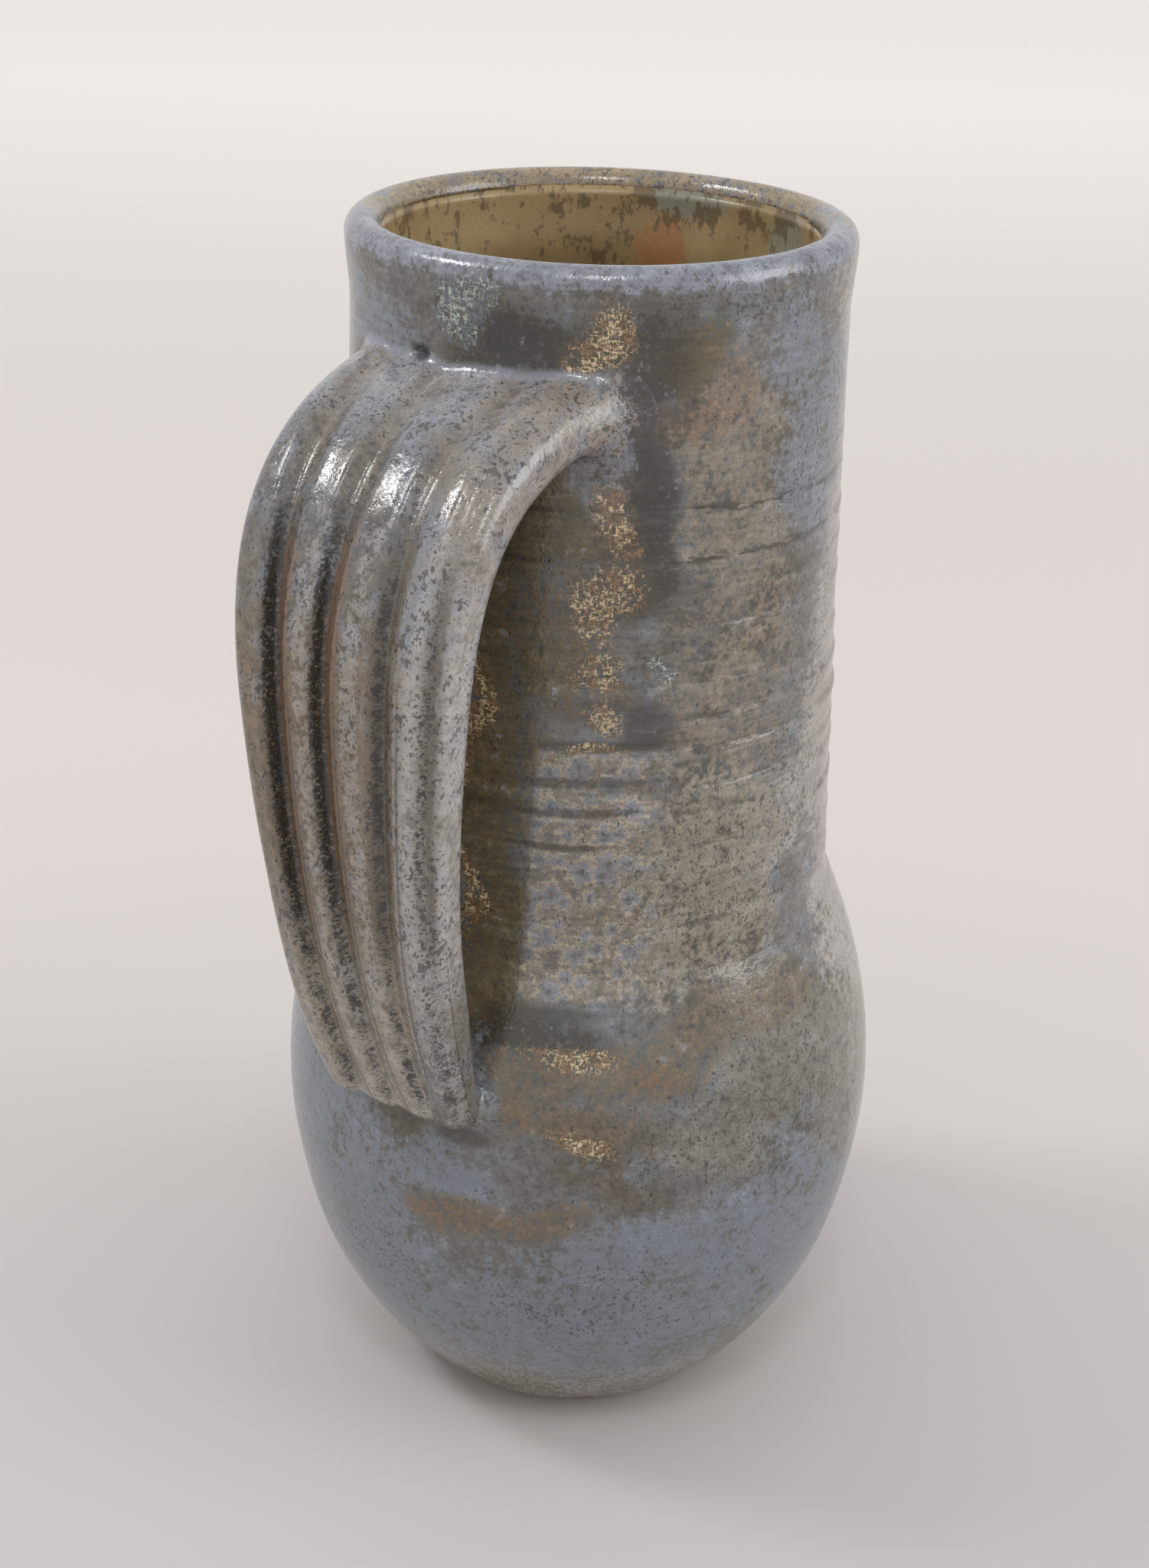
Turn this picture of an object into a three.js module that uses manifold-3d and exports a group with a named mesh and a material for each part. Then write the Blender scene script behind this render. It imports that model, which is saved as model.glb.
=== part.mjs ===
// Stoneware pitcher: a thrown vessel, a pulled and fluted strap handle luted to its neck and belly,
// and coats of glaze inside, outside and round the strap. Millimetres, +Z up. The origin is the
// centre of the flat base, and the handle points along -X.
import * as THREE from 'three';
import { mergeVertices } from 'three/addons/utils/BufferGeometryUtils.js';
import Module from 'manifold-3d';

// Vessel, in bare clay
const BODY_HEIGHT = 219;
const FOOT_RADIUS = 29.5;
const BELLY_RADIUS = 54.3;
const BELLY_HEIGHT = 61;
const CREASE_RADIUS = 43.6; // where the belly turns into the neck
const CREASE_HEIGHT = 104;
const NECK_RADIUS = 40.5; // what the neck draws in towards, half way up
const RIM_RADIUS = 39.5;
const WALL = 4.2;
const FLOOR_THICKNESS = 8;
const FLOOR_CORNER = 9; // run of the curve from the inside wall to the floor

// Strap handle, in bare clay
const RIB_COUNT = 5;
const GROOVE_DEPTH = 1.8;
const STRAP_THICKNESS = 8;
const STRAP_EDGE = 2.2; // rounding of the strap's inner edges
const STRAP_ROOT_WIDTH = 45; // at its buried upper end
const STRAP_END_WIDTH = 18.5; // at its buried lower end
const FINGER_GAP = 23.5; // glaze to glaze, where the strap stands furthest from the neck
const ROOT_BELOW_RIM = 20;
const REACH_BELOW_RIM = 61; // where the strap stands furthest out
const END_HEIGHT = 66;
const ROOT_DEPTH = 5; // how far the strap's edges are buried in the neck before they are trimmed
const END_DEPTH = 9;
const ROOT_LEVEL_RUN = 31; // how far the strap runs level before its shoulder
const REACH_RUN_UP = 26; // how far it runs straight, above and below its furthest point
const REACH_RUN_DOWN = 26;
const END_RUN_OUT = 24; // slant of its lower end
const END_RUN_UP = 38;

// Luting: clay fillets round the strap's two ends
const UPPER_CLIMB = 5; // how far a fillet climbs the strap
const UPPER_FLARE = 5; // how far it spreads on the wall
const LOWER_CLIMB = 3;
const LOWER_FLARE = 3;
const LUTING_DEPTH = 2; // how far a fillet is buried in the wall before it is trimmed

// Glaze, and the clearances between touching pieces
const COAT = 0.7;
const COAT_GAP = 0.2; // between a coat and the clay under it
const SEAM = 0.3; // between pieces that are cut to fit each other
const GLAZE_LINE = 4; // height of the outer coat's lower edge
const SKIN = COAT_GAP + COAT;

// How the strap's outline turns outwards at its edges when it grows: an odd power, and a share
const EDGE_LEAN = 7;
const UNDER_LEAN = 0.4;

// Facets
const SEGMENTS = 32;
const CURVE_STEPS = 5;
const LIP_STEPS = 4;
const RIB_STEPS = 4;
const UNDER_STEPS = 6;
const STRAP_STEPS = 18;
const FILLET_STEPS = 4;
const SEARCH_STEPS = 30;

const wasm = await Module();
wasm.setup();

const point = (radius, height) => new THREE.Vector2(radius, height);

// Moves an open outline sideways, to the right of its direction, with square mitres
function offsetLine(line, distance) {
  const side = (a, b) => point(b.y - a.y, a.x - b.x).normalize();
  const last = line.length - 1;
  return line.map((here, i) => {
    const after = side(line[Math.min(i, last - 1)], line[Math.min(i, last - 1) + 1]);
    const before = i > 0 ? side(line[i - 1], here) : after;
    const mitre = before.clone().add(after).multiplyScalar(distance / (1 + before.dot(after)));
    return here.clone().add(mitre);
  });
}

// Points along a bent stretch of the wall's outline
function bend(start, control, end, steps) {
  return new THREE.QuadraticBezierCurve(start, control, end).getPoints(steps);
}

// Outside of the clay wall, from the foot to the start of the lip
function makeOuterWall() {
  const lipStart = BODY_HEIGHT - WALL / 2;
  const foot = point(FOOT_RADIUS, 0);
  const belly = point(BELLY_RADIUS, BELLY_HEIGHT);
  const crease = point(CREASE_RADIUS, CREASE_HEIGHT);
  const rim = point(RIM_RADIUS, lipStart);
  const lower = bend(foot, point(BELLY_RADIUS, BELLY_HEIGHT / 2), belly, CURVE_STEPS);
  const upper = bend(belly, point(BELLY_RADIUS, (BELLY_HEIGHT + CREASE_HEIGHT) / 2), crease, CURVE_STEPS);
  const neck = bend(crease, point(NECK_RADIUS, (CREASE_HEIGHT + lipStart) / 2), rim, CURVE_STEPS);
  return [...lower, ...upper.slice(1), ...neck.slice(1)];
}

// Half-round lip, from the outside of the wall to the inside
function makeLip() {
  const radius = WALL / 2;
  const arc = new THREE.EllipseCurve(RIM_RADIUS - radius, BODY_HEIGHT - radius, radius, radius, 0, Math.PI);
  return arc.getPoints(LIP_STEPS).slice(1);
}

// Inside of the clay wall, from below the lip down to the middle of the floor
function makeInnerWall(outerWall) {
  const wall = offsetLine(outerWall, -WALL).reverse().slice(1);
  const sides = wall.filter((p) => p.y > FLOOR_THICKNESS + FLOOR_CORNER / 2);
  const low = sides[sides.length - 1];
  const above = sides[sides.length - 2];
  const slope = (above.x - low.x) / (above.y - low.y);
  const corner = point(low.x - slope * (low.y - FLOOR_THICKNESS), FLOOR_THICKNESS);
  const floorEdge = point(corner.x - FLOOR_CORNER, FLOOR_THICKNESS);
  return [...sides, ...bend(low, corner, floorEdge, CURVE_STEPS).slice(1), point(0, FLOOR_THICKNESS)];
}

const outerWall = makeOuterWall();
const lip = makeLip();
const innerWall = makeInnerWall(outerWall);

// Radius of the clay's outside at a height
function wallRadius(height) {
  for (let i = 1; i < outerWall.length; i += 1) {
    const [a, b] = [outerWall[i - 1], outerWall[i]];
    if (height <= b.y) return a.x + ((b.x - a.x) * (height - a.y)) / (b.y - a.y);
  }
  return RIM_RADIUS;
}

// A closed solid from a geometry, with shared corners merged and empty triangles left out
function solidFrom(geometry) {
  geometry.deleteAttribute('normal');
  geometry.deleteAttribute('uv');
  const merged = mergeVertices(geometry);
  const corners = merged.index.array;
  const triangles = [];
  for (let i = 0; i < corners.length; i += 3) {
    const [a, b, c] = corners.slice(i, i + 3);
    if (a !== b && b !== c && c !== a) triangles.push(a, b, c);
  }
  const vertProperties = new Float32Array(merged.attributes.position.array);
  const triVerts = new Uint32Array(triangles);
  return new wasm.Manifold(new wasm.Mesh({ numProp: 3, vertProperties, triVerts }));
}

// A solid of revolution about Z
function revolve(line) {
  return solidFrom(new THREE.LatheGeometry(line, SEGMENTS).rotateX(Math.PI / 2));
}

// The two faces of a coat that follows a line on the clay: the near one runs back along the line
function coatFaces(line) {
  return { far: offsetLine(line, SKIN), near: offsetLine(line, COAT_GAP).reverse() };
}

function makeBody() {
  return revolve([point(0, 0), ...outerWall, ...lip, ...innerWall]);
}

// The vessel's filled outside, grown by a distance: what the handle's pieces are cut to fit
function makeWallCutter(grow) {
  const outside = offsetLine([...outerWall, ...lip.slice(0, Math.ceil(LIP_STEPS / 2))], grow);
  const top = outside[outside.length - 1].y;
  return revolve([point(0, outside[0].y), ...outside, point(0, top)]);
}

function makeOuterCoat() {
  const start = point(wallRadius(GLAZE_LINE), GLAZE_LINE);
  const { far, near } = coatFaces([start, ...outerWall.filter((p) => p.y > GLAZE_LINE), ...lip]);
  return revolve([...far, ...near, far[0]]);
}

function makeLiner() {
  const lipEnd = lip[lip.length - 1];
  const start = point(lipEnd.x, lipEnd.y - SEAM);
  const { far, near } = coatFaces([start, ...innerWall]);
  return revolve([...near, ...far]);
}

// Path of the strap's middle, from inside the neck to inside the belly, as radius and height
function makeStrapPath() {
  const rootHeight = BODY_HEIGHT - ROOT_BELOW_RIM;
  const reachHeight = BODY_HEIGHT - REACH_BELOW_RIM;
  const reach = wallRadius(reachHeight) + SKIN + FINGER_GAP + SKIN + STRAP_THICKNESS / 2;
  const chord = (height, width) => Math.sqrt(wallRadius(height) ** 2 - (width / 2) ** 2);
  const root = new THREE.Vector3(ROOT_DEPTH - chord(rootHeight, STRAP_ROOT_WIDTH), 0, rootHeight);
  const far = new THREE.Vector3(-reach, 0, reachHeight);
  const end = new THREE.Vector3(END_DEPTH - chord(END_HEIGHT, STRAP_END_WIDTH), 0, END_HEIGHT);
  const along = (from, outwards, upwards) => from.clone().add(new THREE.Vector3(-outwards, 0, upwards));
  const path = new THREE.CurvePath();
  const rootPull = along(root, ROOT_LEVEL_RUN, 0);
  const endPull = along(end, END_RUN_OUT, END_RUN_UP);
  path.add(new THREE.CubicBezierCurve3(root, rootPull, along(far, 0, REACH_RUN_UP), far));
  path.add(new THREE.CubicBezierCurve3(far, along(far, 0, -REACH_RUN_DOWN), endPull, end));
  return path;
}

const strapPath = makeStrapPath();

// Outline of the strap across its run. Each corner has a share of the half width, an inset from it, a
// rise from the strap's middle, and the way it moves when the strap grows: how far its growth leans
// sideways, and whether it faces out or in. Ribs are half waves with sharp grooves between them.
function makeStrapOutline() {
  const outline = [];
  const count = RIB_COUNT * RIB_STEPS;
  const half = STRAP_THICKNESS / 2;
  for (let i = 0; i <= count; i += 1) {
    const across = (2 * i) / count - 1;
    const groove = GROOVE_DEPTH * (1 - Math.abs(Math.sin((Math.PI * i) / RIB_STEPS)));
    outline.push({ across, inset: 0, rise: half - groove, lean: across ** EDGE_LEAN, face: 1 });
  }
  outline.push({ across: 1, inset: 0, rise: STRAP_EDGE - half, lean: 1, face: -1 });
  for (let i = 0; i <= UNDER_STEPS; i += 1) {
    const across = 1 - (2 * i) / UNDER_STEPS;
    const inset = STRAP_EDGE * Math.abs(across);
    outline.push({ across, inset, rise: -half, lean: UNDER_LEAN * across ** EDGE_LEAN, face: -1 });
  }
  outline.push({ across: -1, inset: 0, rise: STRAP_EDGE - half, lean: -1, face: -1 });
  return outline;
}

const strapOutline = makeStrapOutline();

// Faces that close an end of the strap, zipped from side to side between its outer and inner corners
function makeEndFaces() {
  const corners = strapOutline.map((corner, index) => ({ index, ...corner }));
  const outer = corners.filter(({ face }) => face > 0);
  const inner = corners.filter(({ face }) => face < 0).reverse();
  const faces = [];
  let [i, j] = [0, 0];
  while (i < outer.length - 1 || j < inner.length - 1) {
    const outerNext = outer[i + 1]?.across ?? Infinity;
    const innerNext = inner[j + 1]?.across ?? Infinity;
    const next = outerNext < innerNext ? outer[i + 1] : inner[j + 1];
    faces.push([outer[i].index, inner[j].index, next.index]);
    if (next === outer[i + 1]) i += 1;
    else j += 1;
  }
  return faces;
}

const strapEndFaces = makeEndFaces();

// One corner of the strap's outline, grown by a distance, at a share of its path
function strapCorner({ across, inset, rise, lean, face }, share, growth) {
  const forward = strapPath.getTangentAt(share);
  const outwards = new THREE.Vector3(forward.z, 0, -forward.x);
  const halfWidth = THREE.MathUtils.lerp(STRAP_ROOT_WIDTH, STRAP_END_WIDTH, share) / 2;
  const sideways = new THREE.Vector3(0, across * halfWidth - Math.sign(across) * inset + lean * growth, 0);
  return strapPath.getPointAt(share)
    .add(sideways)
    .addScaledVector(outwards, rise + face * Math.sqrt(1 - lean * lean) * growth);
}

// A closed solid through a row of rings that each follow the strap's outline
function loft(rings) {
  const count = rings[0].length;
  const corners = rings.flat();
  const triangles = [];
  const at = (ring, i) => ring * count + (i % count);
  for (let ring = 1; ring < rings.length; ring += 1) {
    for (let i = 0; i < count; i += 1) {
      const [a, b, c, d] = [at(ring - 1, i), at(ring - 1, i + 1), at(ring, i + 1), at(ring, i)];
      triangles.push(a, b, c, a, c, d);
    }
  }
  const lastRing = (rings.length - 1) * count;
  for (const [a, b, c] of strapEndFaces) {
    triangles.push(a, b, c, lastRing + a, lastRing + c, lastRing + b);
  }
  const geometry = new THREE.BufferGeometry().setFromPoints(corners);
  geometry.setIndex(triangles);
  return solidFrom(geometry);
}

// The whole strap, grown by a distance
function strapGrown(grow) {
  const rings = [];
  for (let i = 0; i <= STRAP_STEPS; i += 1) {
    rings.push(strapOutline.map((corner) => strapCorner(corner, i / STRAP_STEPS, grow)));
  }
  return loft(rings);
}

// Distance from the glazed wall, measured level
function wallDistance(place) {
  return Math.hypot(place.x, place.y) - wallRadius(place.z) - SKIN;
}

// Share of the path, between its middle and one end, where a corner of the glazed strap is at a
// distance from the glazed wall
function shareAtDistance(corner, end, distance) {
  let [clear, buried] = [0.5, end];
  for (let i = 0; i < SEARCH_STEPS; i += 1) {
    const middle = (clear + buried) / 2;
    if (wallDistance(strapCorner(corner, middle, SKIN)) > distance) clear = middle;
    else buried = middle;
  }
  return clear;
}

// A ring round the strap at one distance from the glazed wall, spread from the strap by a distance
function wallRing(end, distance, spread) {
  return strapOutline.map((corner) => {
    const share = shareAtDistance(corner, end, distance);
    const place = strapCorner(corner, share, SKIN + spread);
    const seat = (wallRadius(place.z) + SKIN + distance) / Math.hypot(place.x, place.y);
    return place.multiply(new THREE.Vector3(seat, seat, 1));
  });
}

// A quarter-round fillet between the strap and the wall at one end of the strap, grown by a clearance.
// It runs on along the strap by the clearance, and is buried in the wall at its wide end.
function fillet(end, climb, flare, clearance) {
  const rings = [wallRing(end, climb + clearance, clearance)];
  for (let i = 0; i <= FILLET_STEPS; i += 1) {
    const angle = ((Math.PI / 2) * i) / FILLET_STEPS;
    const distance = climb * (1 - Math.sin(angle)) + clearance * Math.sin(angle);
    rings.push(wallRing(end, distance, flare * (1 - Math.cos(angle)) + clearance * Math.cos(angle)));
  }
  rings.push(wallRing(end, clearance, flare + clearance));
  rings.push(wallRing(end, -LUTING_DEPTH, flare + clearance));
  return loft(end > 0 ? rings : rings.reverse());
}

const upperFillet = (clearance) => fillet(0, UPPER_CLIMB, UPPER_FLARE, clearance);
const lowerFillet = (clearance) => fillet(1, LOWER_CLIMB, LOWER_FLARE, clearance);

function makeLuting(filletAt) {
  return filletAt(0).subtract(strapGrown(SEAM)).subtract(makeWallCutter(SEAM));
}

function cutForLutings(coat) {
  return coat.subtract(upperFillet(SEAM)).subtract(lowerFillet(SEAM));
}

// The coat on the strap, trimmed at the wall and then cut to length by the fillets
function makeHandleCoat() {
  const sleeve = strapGrown(SKIN).subtract(strapGrown(COAT_GAP));
  return cutForLutings(sleeve.subtract(makeWallCutter(SEAM)));
}

function meshFrom(name, solid, material) {
  const { vertProperties, triVerts } = solid.getMesh();
  const geometry = new THREE.BufferGeometry();
  geometry.setAttribute('position', new THREE.BufferAttribute(vertProperties, 3));
  geometry.setIndex(new THREE.BufferAttribute(triVerts, 1));
  geometry.computeVertexNormals();
  const mesh = new THREE.Mesh(geometry, material);
  mesh.name = name;
  return mesh;
}

const finish = (color, roughness) => new THREE.MeshStandardMaterial({ color, roughness, metalness: 0 });
const CLAY = finish(0x9c7d62, 0.85);
const OUTER_GLAZE = finish(0x8a9099, 0.25);
const LINER_GLAZE = finish(0xb3a884, 0.3);

const vessel = new THREE.Group();
vessel.add(meshFrom('thrown_body', makeBody(), CLAY));
vessel.add(meshFrom('outer_glaze', cutForLutings(makeOuterCoat()), OUTER_GLAZE));
vessel.add(meshFrom('liner_glaze', makeLiner(), LINER_GLAZE));

const handle = new THREE.Group();
handle.add(meshFrom('handle_strap', strapGrown(0).subtract(makeWallCutter(SEAM)), CLAY));
handle.add(meshFrom('upper_luting', makeLuting(upperFillet), OUTER_GLAZE));
handle.add(meshFrom('lower_luting', makeLuting(lowerFillet), OUTER_GLAZE));
handle.add(meshFrom('handle_glaze', makeHandleCoat(), OUTER_GLAZE));

const pitcher = new THREE.Group();
pitcher.add(vessel, handle);

export default pitcher;
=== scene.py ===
"""Looks of the stoneware pitcher: smooth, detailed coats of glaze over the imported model's pieces.

Lengths are millimetres until a mesh, a light or the camera is made. The frame is the model's own: the
origin is the centre of the base, +Z is up and the handle points along -X. Angles round the vessel are
degrees from the side that faces the camera, and grow to the right of the picture.
"""
import math

import bpy
import numpy as np
from mathutils import Matrix, Vector


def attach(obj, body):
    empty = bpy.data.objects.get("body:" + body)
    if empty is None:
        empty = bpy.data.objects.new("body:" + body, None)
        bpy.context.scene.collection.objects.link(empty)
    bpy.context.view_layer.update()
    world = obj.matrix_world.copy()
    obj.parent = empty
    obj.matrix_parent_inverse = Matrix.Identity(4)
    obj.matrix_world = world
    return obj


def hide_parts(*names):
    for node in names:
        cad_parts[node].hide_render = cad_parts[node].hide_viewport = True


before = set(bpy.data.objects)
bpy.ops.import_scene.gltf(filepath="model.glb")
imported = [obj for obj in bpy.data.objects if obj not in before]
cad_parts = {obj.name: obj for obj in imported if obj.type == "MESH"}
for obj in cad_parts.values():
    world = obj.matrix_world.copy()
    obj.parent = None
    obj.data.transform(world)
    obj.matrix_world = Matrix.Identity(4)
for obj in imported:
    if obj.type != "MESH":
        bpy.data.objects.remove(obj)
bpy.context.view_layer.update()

MM = 0.001

# Vessel, in bare clay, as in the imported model
BODY_HEIGHT = 219
FOOT_RADIUS = 29.5
BELLY_RADIUS = 54.3
BELLY_HEIGHT = 61
CREASE_RADIUS = 43.6
CREASE_HEIGHT = 104
NECK_RADIUS = 40.5
RIM_RADIUS = 39.5
LOW_FULLNESS = 1.2  # of the wall between the foot and the belly
LOW_HEIGHTS = (0, 18, 24, 50)  # where it starts, is full, starts to go and ends
LIP_FLARE = 0.8  # turn-out of the wall below the lip
FLARE_START = 206
WALL = 4.2
FLOOR_THICKNESS = 8
FLOOR_CORNER = 9
LIP_RADIUS = WALL / 2
LIP_START = BODY_HEIGHT - LIP_RADIUS

# Strap handle, in bare clay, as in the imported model
STRAP_THICKNESS = 8
STRAP_EDGE = 2.2
STRAP_ROOT_WIDTH = 45
STRAP_END_WIDTH = 18.5
FINGER_GAP = 23.5
ROOT_HEIGHT = BODY_HEIGHT - 20
REACH_HEIGHT = BODY_HEIGHT - 61
END_HEIGHT = 66
ROOT_DEPTH = 5
END_DEPTH = 9
ROOT_LEVEL_RUN = 31
REACH_RUN = 26
END_RUN_OUT = 24
END_RUN_UP = 38

# Glaze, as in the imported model
COAT = 0.7
COAT_GAP = 0.2
SKIN = COAT_GAP + COAT
GLAZE_LINE = 4

# Relief of the wall
CREASE_SOFTNESS = 1.2  # rounding of the crease between belly and neck
GLAZE_EDGE_WAVE = 0.7  # how far the coat's lower edge wanders up and down
EDGE_REACH = 14  # height up to which that wave is felt
EDGE_SWELL = 1.4  # height over which the coat swells to its full thickness
FOOT_CHAMFER = 0.8
AXIS_RADIUS = 0.01  # of the smallest ring, in place of a point on the axis
WOBBLE = (0.16, 0.1)  # of the wall, twice and three times round
RELIEF_FOOT = (2, 14)  # heights over which the wall's relief comes in
RELIEF_LIP = (219, 208)  # heights below the lip over which it grows to its full depth
RELIEF_LEAST = 0.3  # share of it at the lip
LINER_RING = 0.14  # depth of the soft rings inside
LINER_RING_RUN = 1.9  # height for a radian of their wave
LINER_RING_HEIGHTS = (40, 60)  # over which they come in
LINER_TUCK = 0.4  # how far the liner reaches behind the end of the outer coat
# Throwing rings: height of the sharp upper edge, how far it stands out, darkness of the line above it
RINGS = (
    (188.0, 0.12, 0.2),
    (182.4, 0.26, 2.0),
    (175.4, 0.36, 2.0),
    (169.7, 0.32, 0.6),
    (163.8, 0.36, 0.5),
    (154.8, 0.52, 0.6),
    (148.3, 0.60, 0.7),
    (142.9, 0.66, 0.9),
    (136.9, 0.56, 0.8),
    (132.2, 0.52, 0.6),
    (126.2, 0.46, 0.6),
    (119.0, 0.24, 0.3),
    (111.7, 0.30, 0.7),
    (102.9, 0.22, 0.6),
)
RING_TURN_OUT = 0.9  # height over which a ring's edge turns out
RING_FADE = 3.2  # height over which a ring dies away below its edge
RING_WANDER = 0.35  # how far an edge wanders up and down round the wall
RING_LINE_RISE = 0.3  # of the dark line above the edge
RING_LINE_WIDTH = 0.6
RING_MEAN = 0.2  # taken off, so that the rings stand about the plain outline
RING_LEDGE_DROP = 0.9  # of the painted highlight on the ledge below the edge
LEDGE_GAIN = 1.6  # strength of the painted highlight on a ledge for each millimetre of its ring
LEDGE_LEAST = 0.1  # share of that painted highlight on the far side, away from the light
LEDGE_ANGLE = 50  # where round the wall the painted highlights on the ledges are brightest, towards the light
DASH_ANGLES = (35, -150)  # where round the wall the lines above the edges are dark
DASH_REACH = (24, 10)
DASH_LEAST = 0.35  # how much of those lines shows elsewhere

# Relief of the strap, across from +1 at +Y to -1 at -Y
GROOVES = (  # place at the shoulder, place at the lower end, depth, darkness, rust, darkness at the lower end; the darkness is dark glaze with painted shade on the steep side
    (0.61, 0.58, 2.4, 1.0, 0.9, 0.8),
    (0.12, 0.10, 2.2, 0.95, 1.0, 0.75),
    (-0.45, -0.45, 1.6, 0.6, 0.4, 0.7),
    (-0.84, -0.93, 1.3, 0.45, 0.2, 0.66),
)
GROOVE_STEEP = 2.0  # run of a groove's steep side, towards +Y
GROOVE_GENTLE = 3.3  # run of its gentle side
RIDGE = 0.3  # rise of the rib along the groove's steep side
RIDGE_WIDTH = 1.1
GROOVE_SPREAD = 0.5  # how much wider the grooves open at the root
SPREAD_RUN = (0.36, 0.1)  # shares of the path over which they do
GROOVE_SHIFT = (0.2, 0.8)  # shares of the path over which a groove moves to its lower place
GROOVE_WANDER = 0.012
GROOVE_ROOT = 0.15  # share of a groove's depth at the root
GROOVE_GAINS = ((0.4, 0.05, 0.13), (0.45, 0.1, 0.34))  # share gained, and where along the path
GROOVE_LOSSES = ((0.35, 0.55, 0.85), (0.75, 0.84, 0.9))  # share lost, and where along the path
EDGE_ROUND = 3.0  # rounding between the outer face and the sides
ROOT_ROUND = 5.5  # the same at the root
ROOT_ROUND_RUN = (0.3, 0.06)
MID_GAIN = 1.3  # widening of the -Y side along the grip
MID_RUN = (0.15, 0.4, 0.7, 0.95)  # shares of the path where it starts, is full, starts to go and ends
LOW_GAIN = 4.0  # extra half width of the lower end, on its +Y side
LOW_RUN = (0.55, 0.92)  # shares of the path over which it comes in
LOW_THINNING = 2.4  # how much thinner the lower end is, on its underside
THIN_RUN = (0.72, 0.94)
END_CAP = (0.874, 0.918)  # shares of the path between which the lower end rounds off
END_CAP_DROP = 8.5

# Paint of the strap: runs along its path, and bands by their distance from a groove's bottom towards +Y
GRIP_RUN = (0.17, 0.32)
LOWER_RUN = (0.55, 0.72)
TIP_RUN = (0.89, 0.855)
CRACK_RUN = (0.3, 0.45)
# band of each groove's steep side, painted with dark glaze and painted shade
STEEP_BAND = (-0.5, 0.3, 0.9, 1.9)
GENTLE_BAND = (-4.6, -2.8, -0.3, 0.6)
CREST_BAND = (-8.2, -6.8, -5.0, -3.9)
CRACK_WIDTH = 0.28
VALLEY_WIDTH = 1.8
TROUGH_WIDTH = 1.7
FIRST_DRAB = 2  # number of the first groove with a drab bottom

# Clay and glaze that run from the strap's ends on to the wall
FILLET_PLACES = (-180, -90, 0, 90, 180)  # turns round the strap: -Y side, underside, +Y side, outer face
UPPER_CLIMB = (8.5, 5.0, 2.5, 1.8, 8.5)
UPPER_FLARE = (8.5, 4.5, 2.5, 1.6, 8.5)
LOWER_CLIMB = (2.0, 3.0, 1.6, 1.3, 2.0)
LOWER_FLARE = (5.5, 3.0, 1.6, 1.3, 5.5)
TUCK = 0.5  # how deep a fillet's foot is sunk in the wall's glaze
PINHOLE = (-41, 204.2)  # angle and height of a pit in the glaze of the upper joint
PINHOLE_REACH = (1.5, 0.9)
PINHOLE_DEPTH = 1.2

# Mesh steps
WALL_SEGMENTS = 360
WALL_STEP = 0.5
LIP_STEPS = 16
FACE_STEPS = 220
EDGE_STEPS = 8
UNDER_STEPS = 26
PATH_STEPS = 600
PATH_HALVINGS = 30  # of the search for a place along the strap
STRAP_ROWS = 280
CLAY_ROWS = 90
STRAP_CROWDING = 1.5  # rows crowd towards the lower end
FILLET_ROWS = 12

# Camera, measured from the photograph
PHOTO_HEIGHT_PX = 2048
FOCAL_PX = 2800
SENSOR_HEIGHT = 36
CAMERA_DISTANCE = 347.8  # from the vessel's axis, level
CAMERA_HEIGHT = 289.3
CAMERA_AZIMUTH = 210  # direction from the axis, from +X towards +Y
CAMERA_PITCH = 26.27  # down
CAMERA_YAW = -0.323
CAMERA_ROLL = 1.531


def rgb(red, green, blue):
    """A scene-linear colour from its screen values."""
    screen = np.array([red, green, blue]) / 255
    linear = np.where(screen <= 0.04045, screen / 12.92, ((screen + 0.055) / 1.055) ** 2.4)
    return (*linear.tolist(), 1.0)


def smooth(low, high, value):
    """0 at low and beyond it, 1 at high and beyond it, and a smooth step between them."""
    share = np.clip((value - low) / (high - low), 0, 1)
    return share * share * (3 - 2 * share)


def plateau(places, value):
    """0 before the first place and beyond the last of four, and 1 between the second and the third."""
    start, full, going, end = places
    return smooth(start, full, value) * smooth(end, going, value)


# The vessel's outline

def bend(start, control, end, share):
    """A quadratic curve at shares of its run, held at its ends."""
    share = np.clip(share, 0, 1)
    return (1 - share) ** 2 * start + 2 * share * (1 - share) * control + share ** 2 * end


def sharp_wall_radius(height):
    """Radius of the clay's outside at heights: foot to belly, belly to crease, crease to lip."""
    fullness = LOW_FULLNESS * plateau(LOW_HEIGHTS, height)
    lower = bend(FOOT_RADIUS, BELLY_RADIUS, BELLY_RADIUS, height / BELLY_HEIGHT) + fullness
    rise = (height - BELLY_HEIGHT) / (CREASE_HEIGHT - BELLY_HEIGHT)
    upper = bend(BELLY_RADIUS, BELLY_RADIUS, CREASE_RADIUS, rise)
    run = (height - CREASE_HEIGHT) / (LIP_START - CREASE_HEIGHT)
    flare = LIP_FLARE * smooth(FLARE_START, LIP_START, height)
    neck = bend(CREASE_RADIUS, NECK_RADIUS, RIM_RADIUS, run) + flare
    return np.where(height < BELLY_HEIGHT, lower, np.where(height < CREASE_HEIGHT, upper, neck))


def wall_radius(height):
    """The same with its crease rounded, as the mean of places a little above and below."""
    height = np.asarray(height, float)
    spread = CREASE_SOFTNESS * smooth(4 * CREASE_SOFTNESS, 0, np.abs(height - CREASE_HEIGHT))
    shifts = np.linspace(-2, 2, 9)
    return np.mean([sharp_wall_radius(height + shift * spread) for shift in shifts], axis=0)


def outline_sides(line):
    """Unit directions square to an open outline of radius and height, to the right of its run."""
    run = np.gradient(line, axis=0)
    sides = np.stack([run[:, 1], -run[:, 0]], axis=1)
    return sides / np.linalg.norm(sides, axis=1, keepdims=True)


def offset_line(line, distance):
    return line + outline_sides(line) * distance


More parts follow.
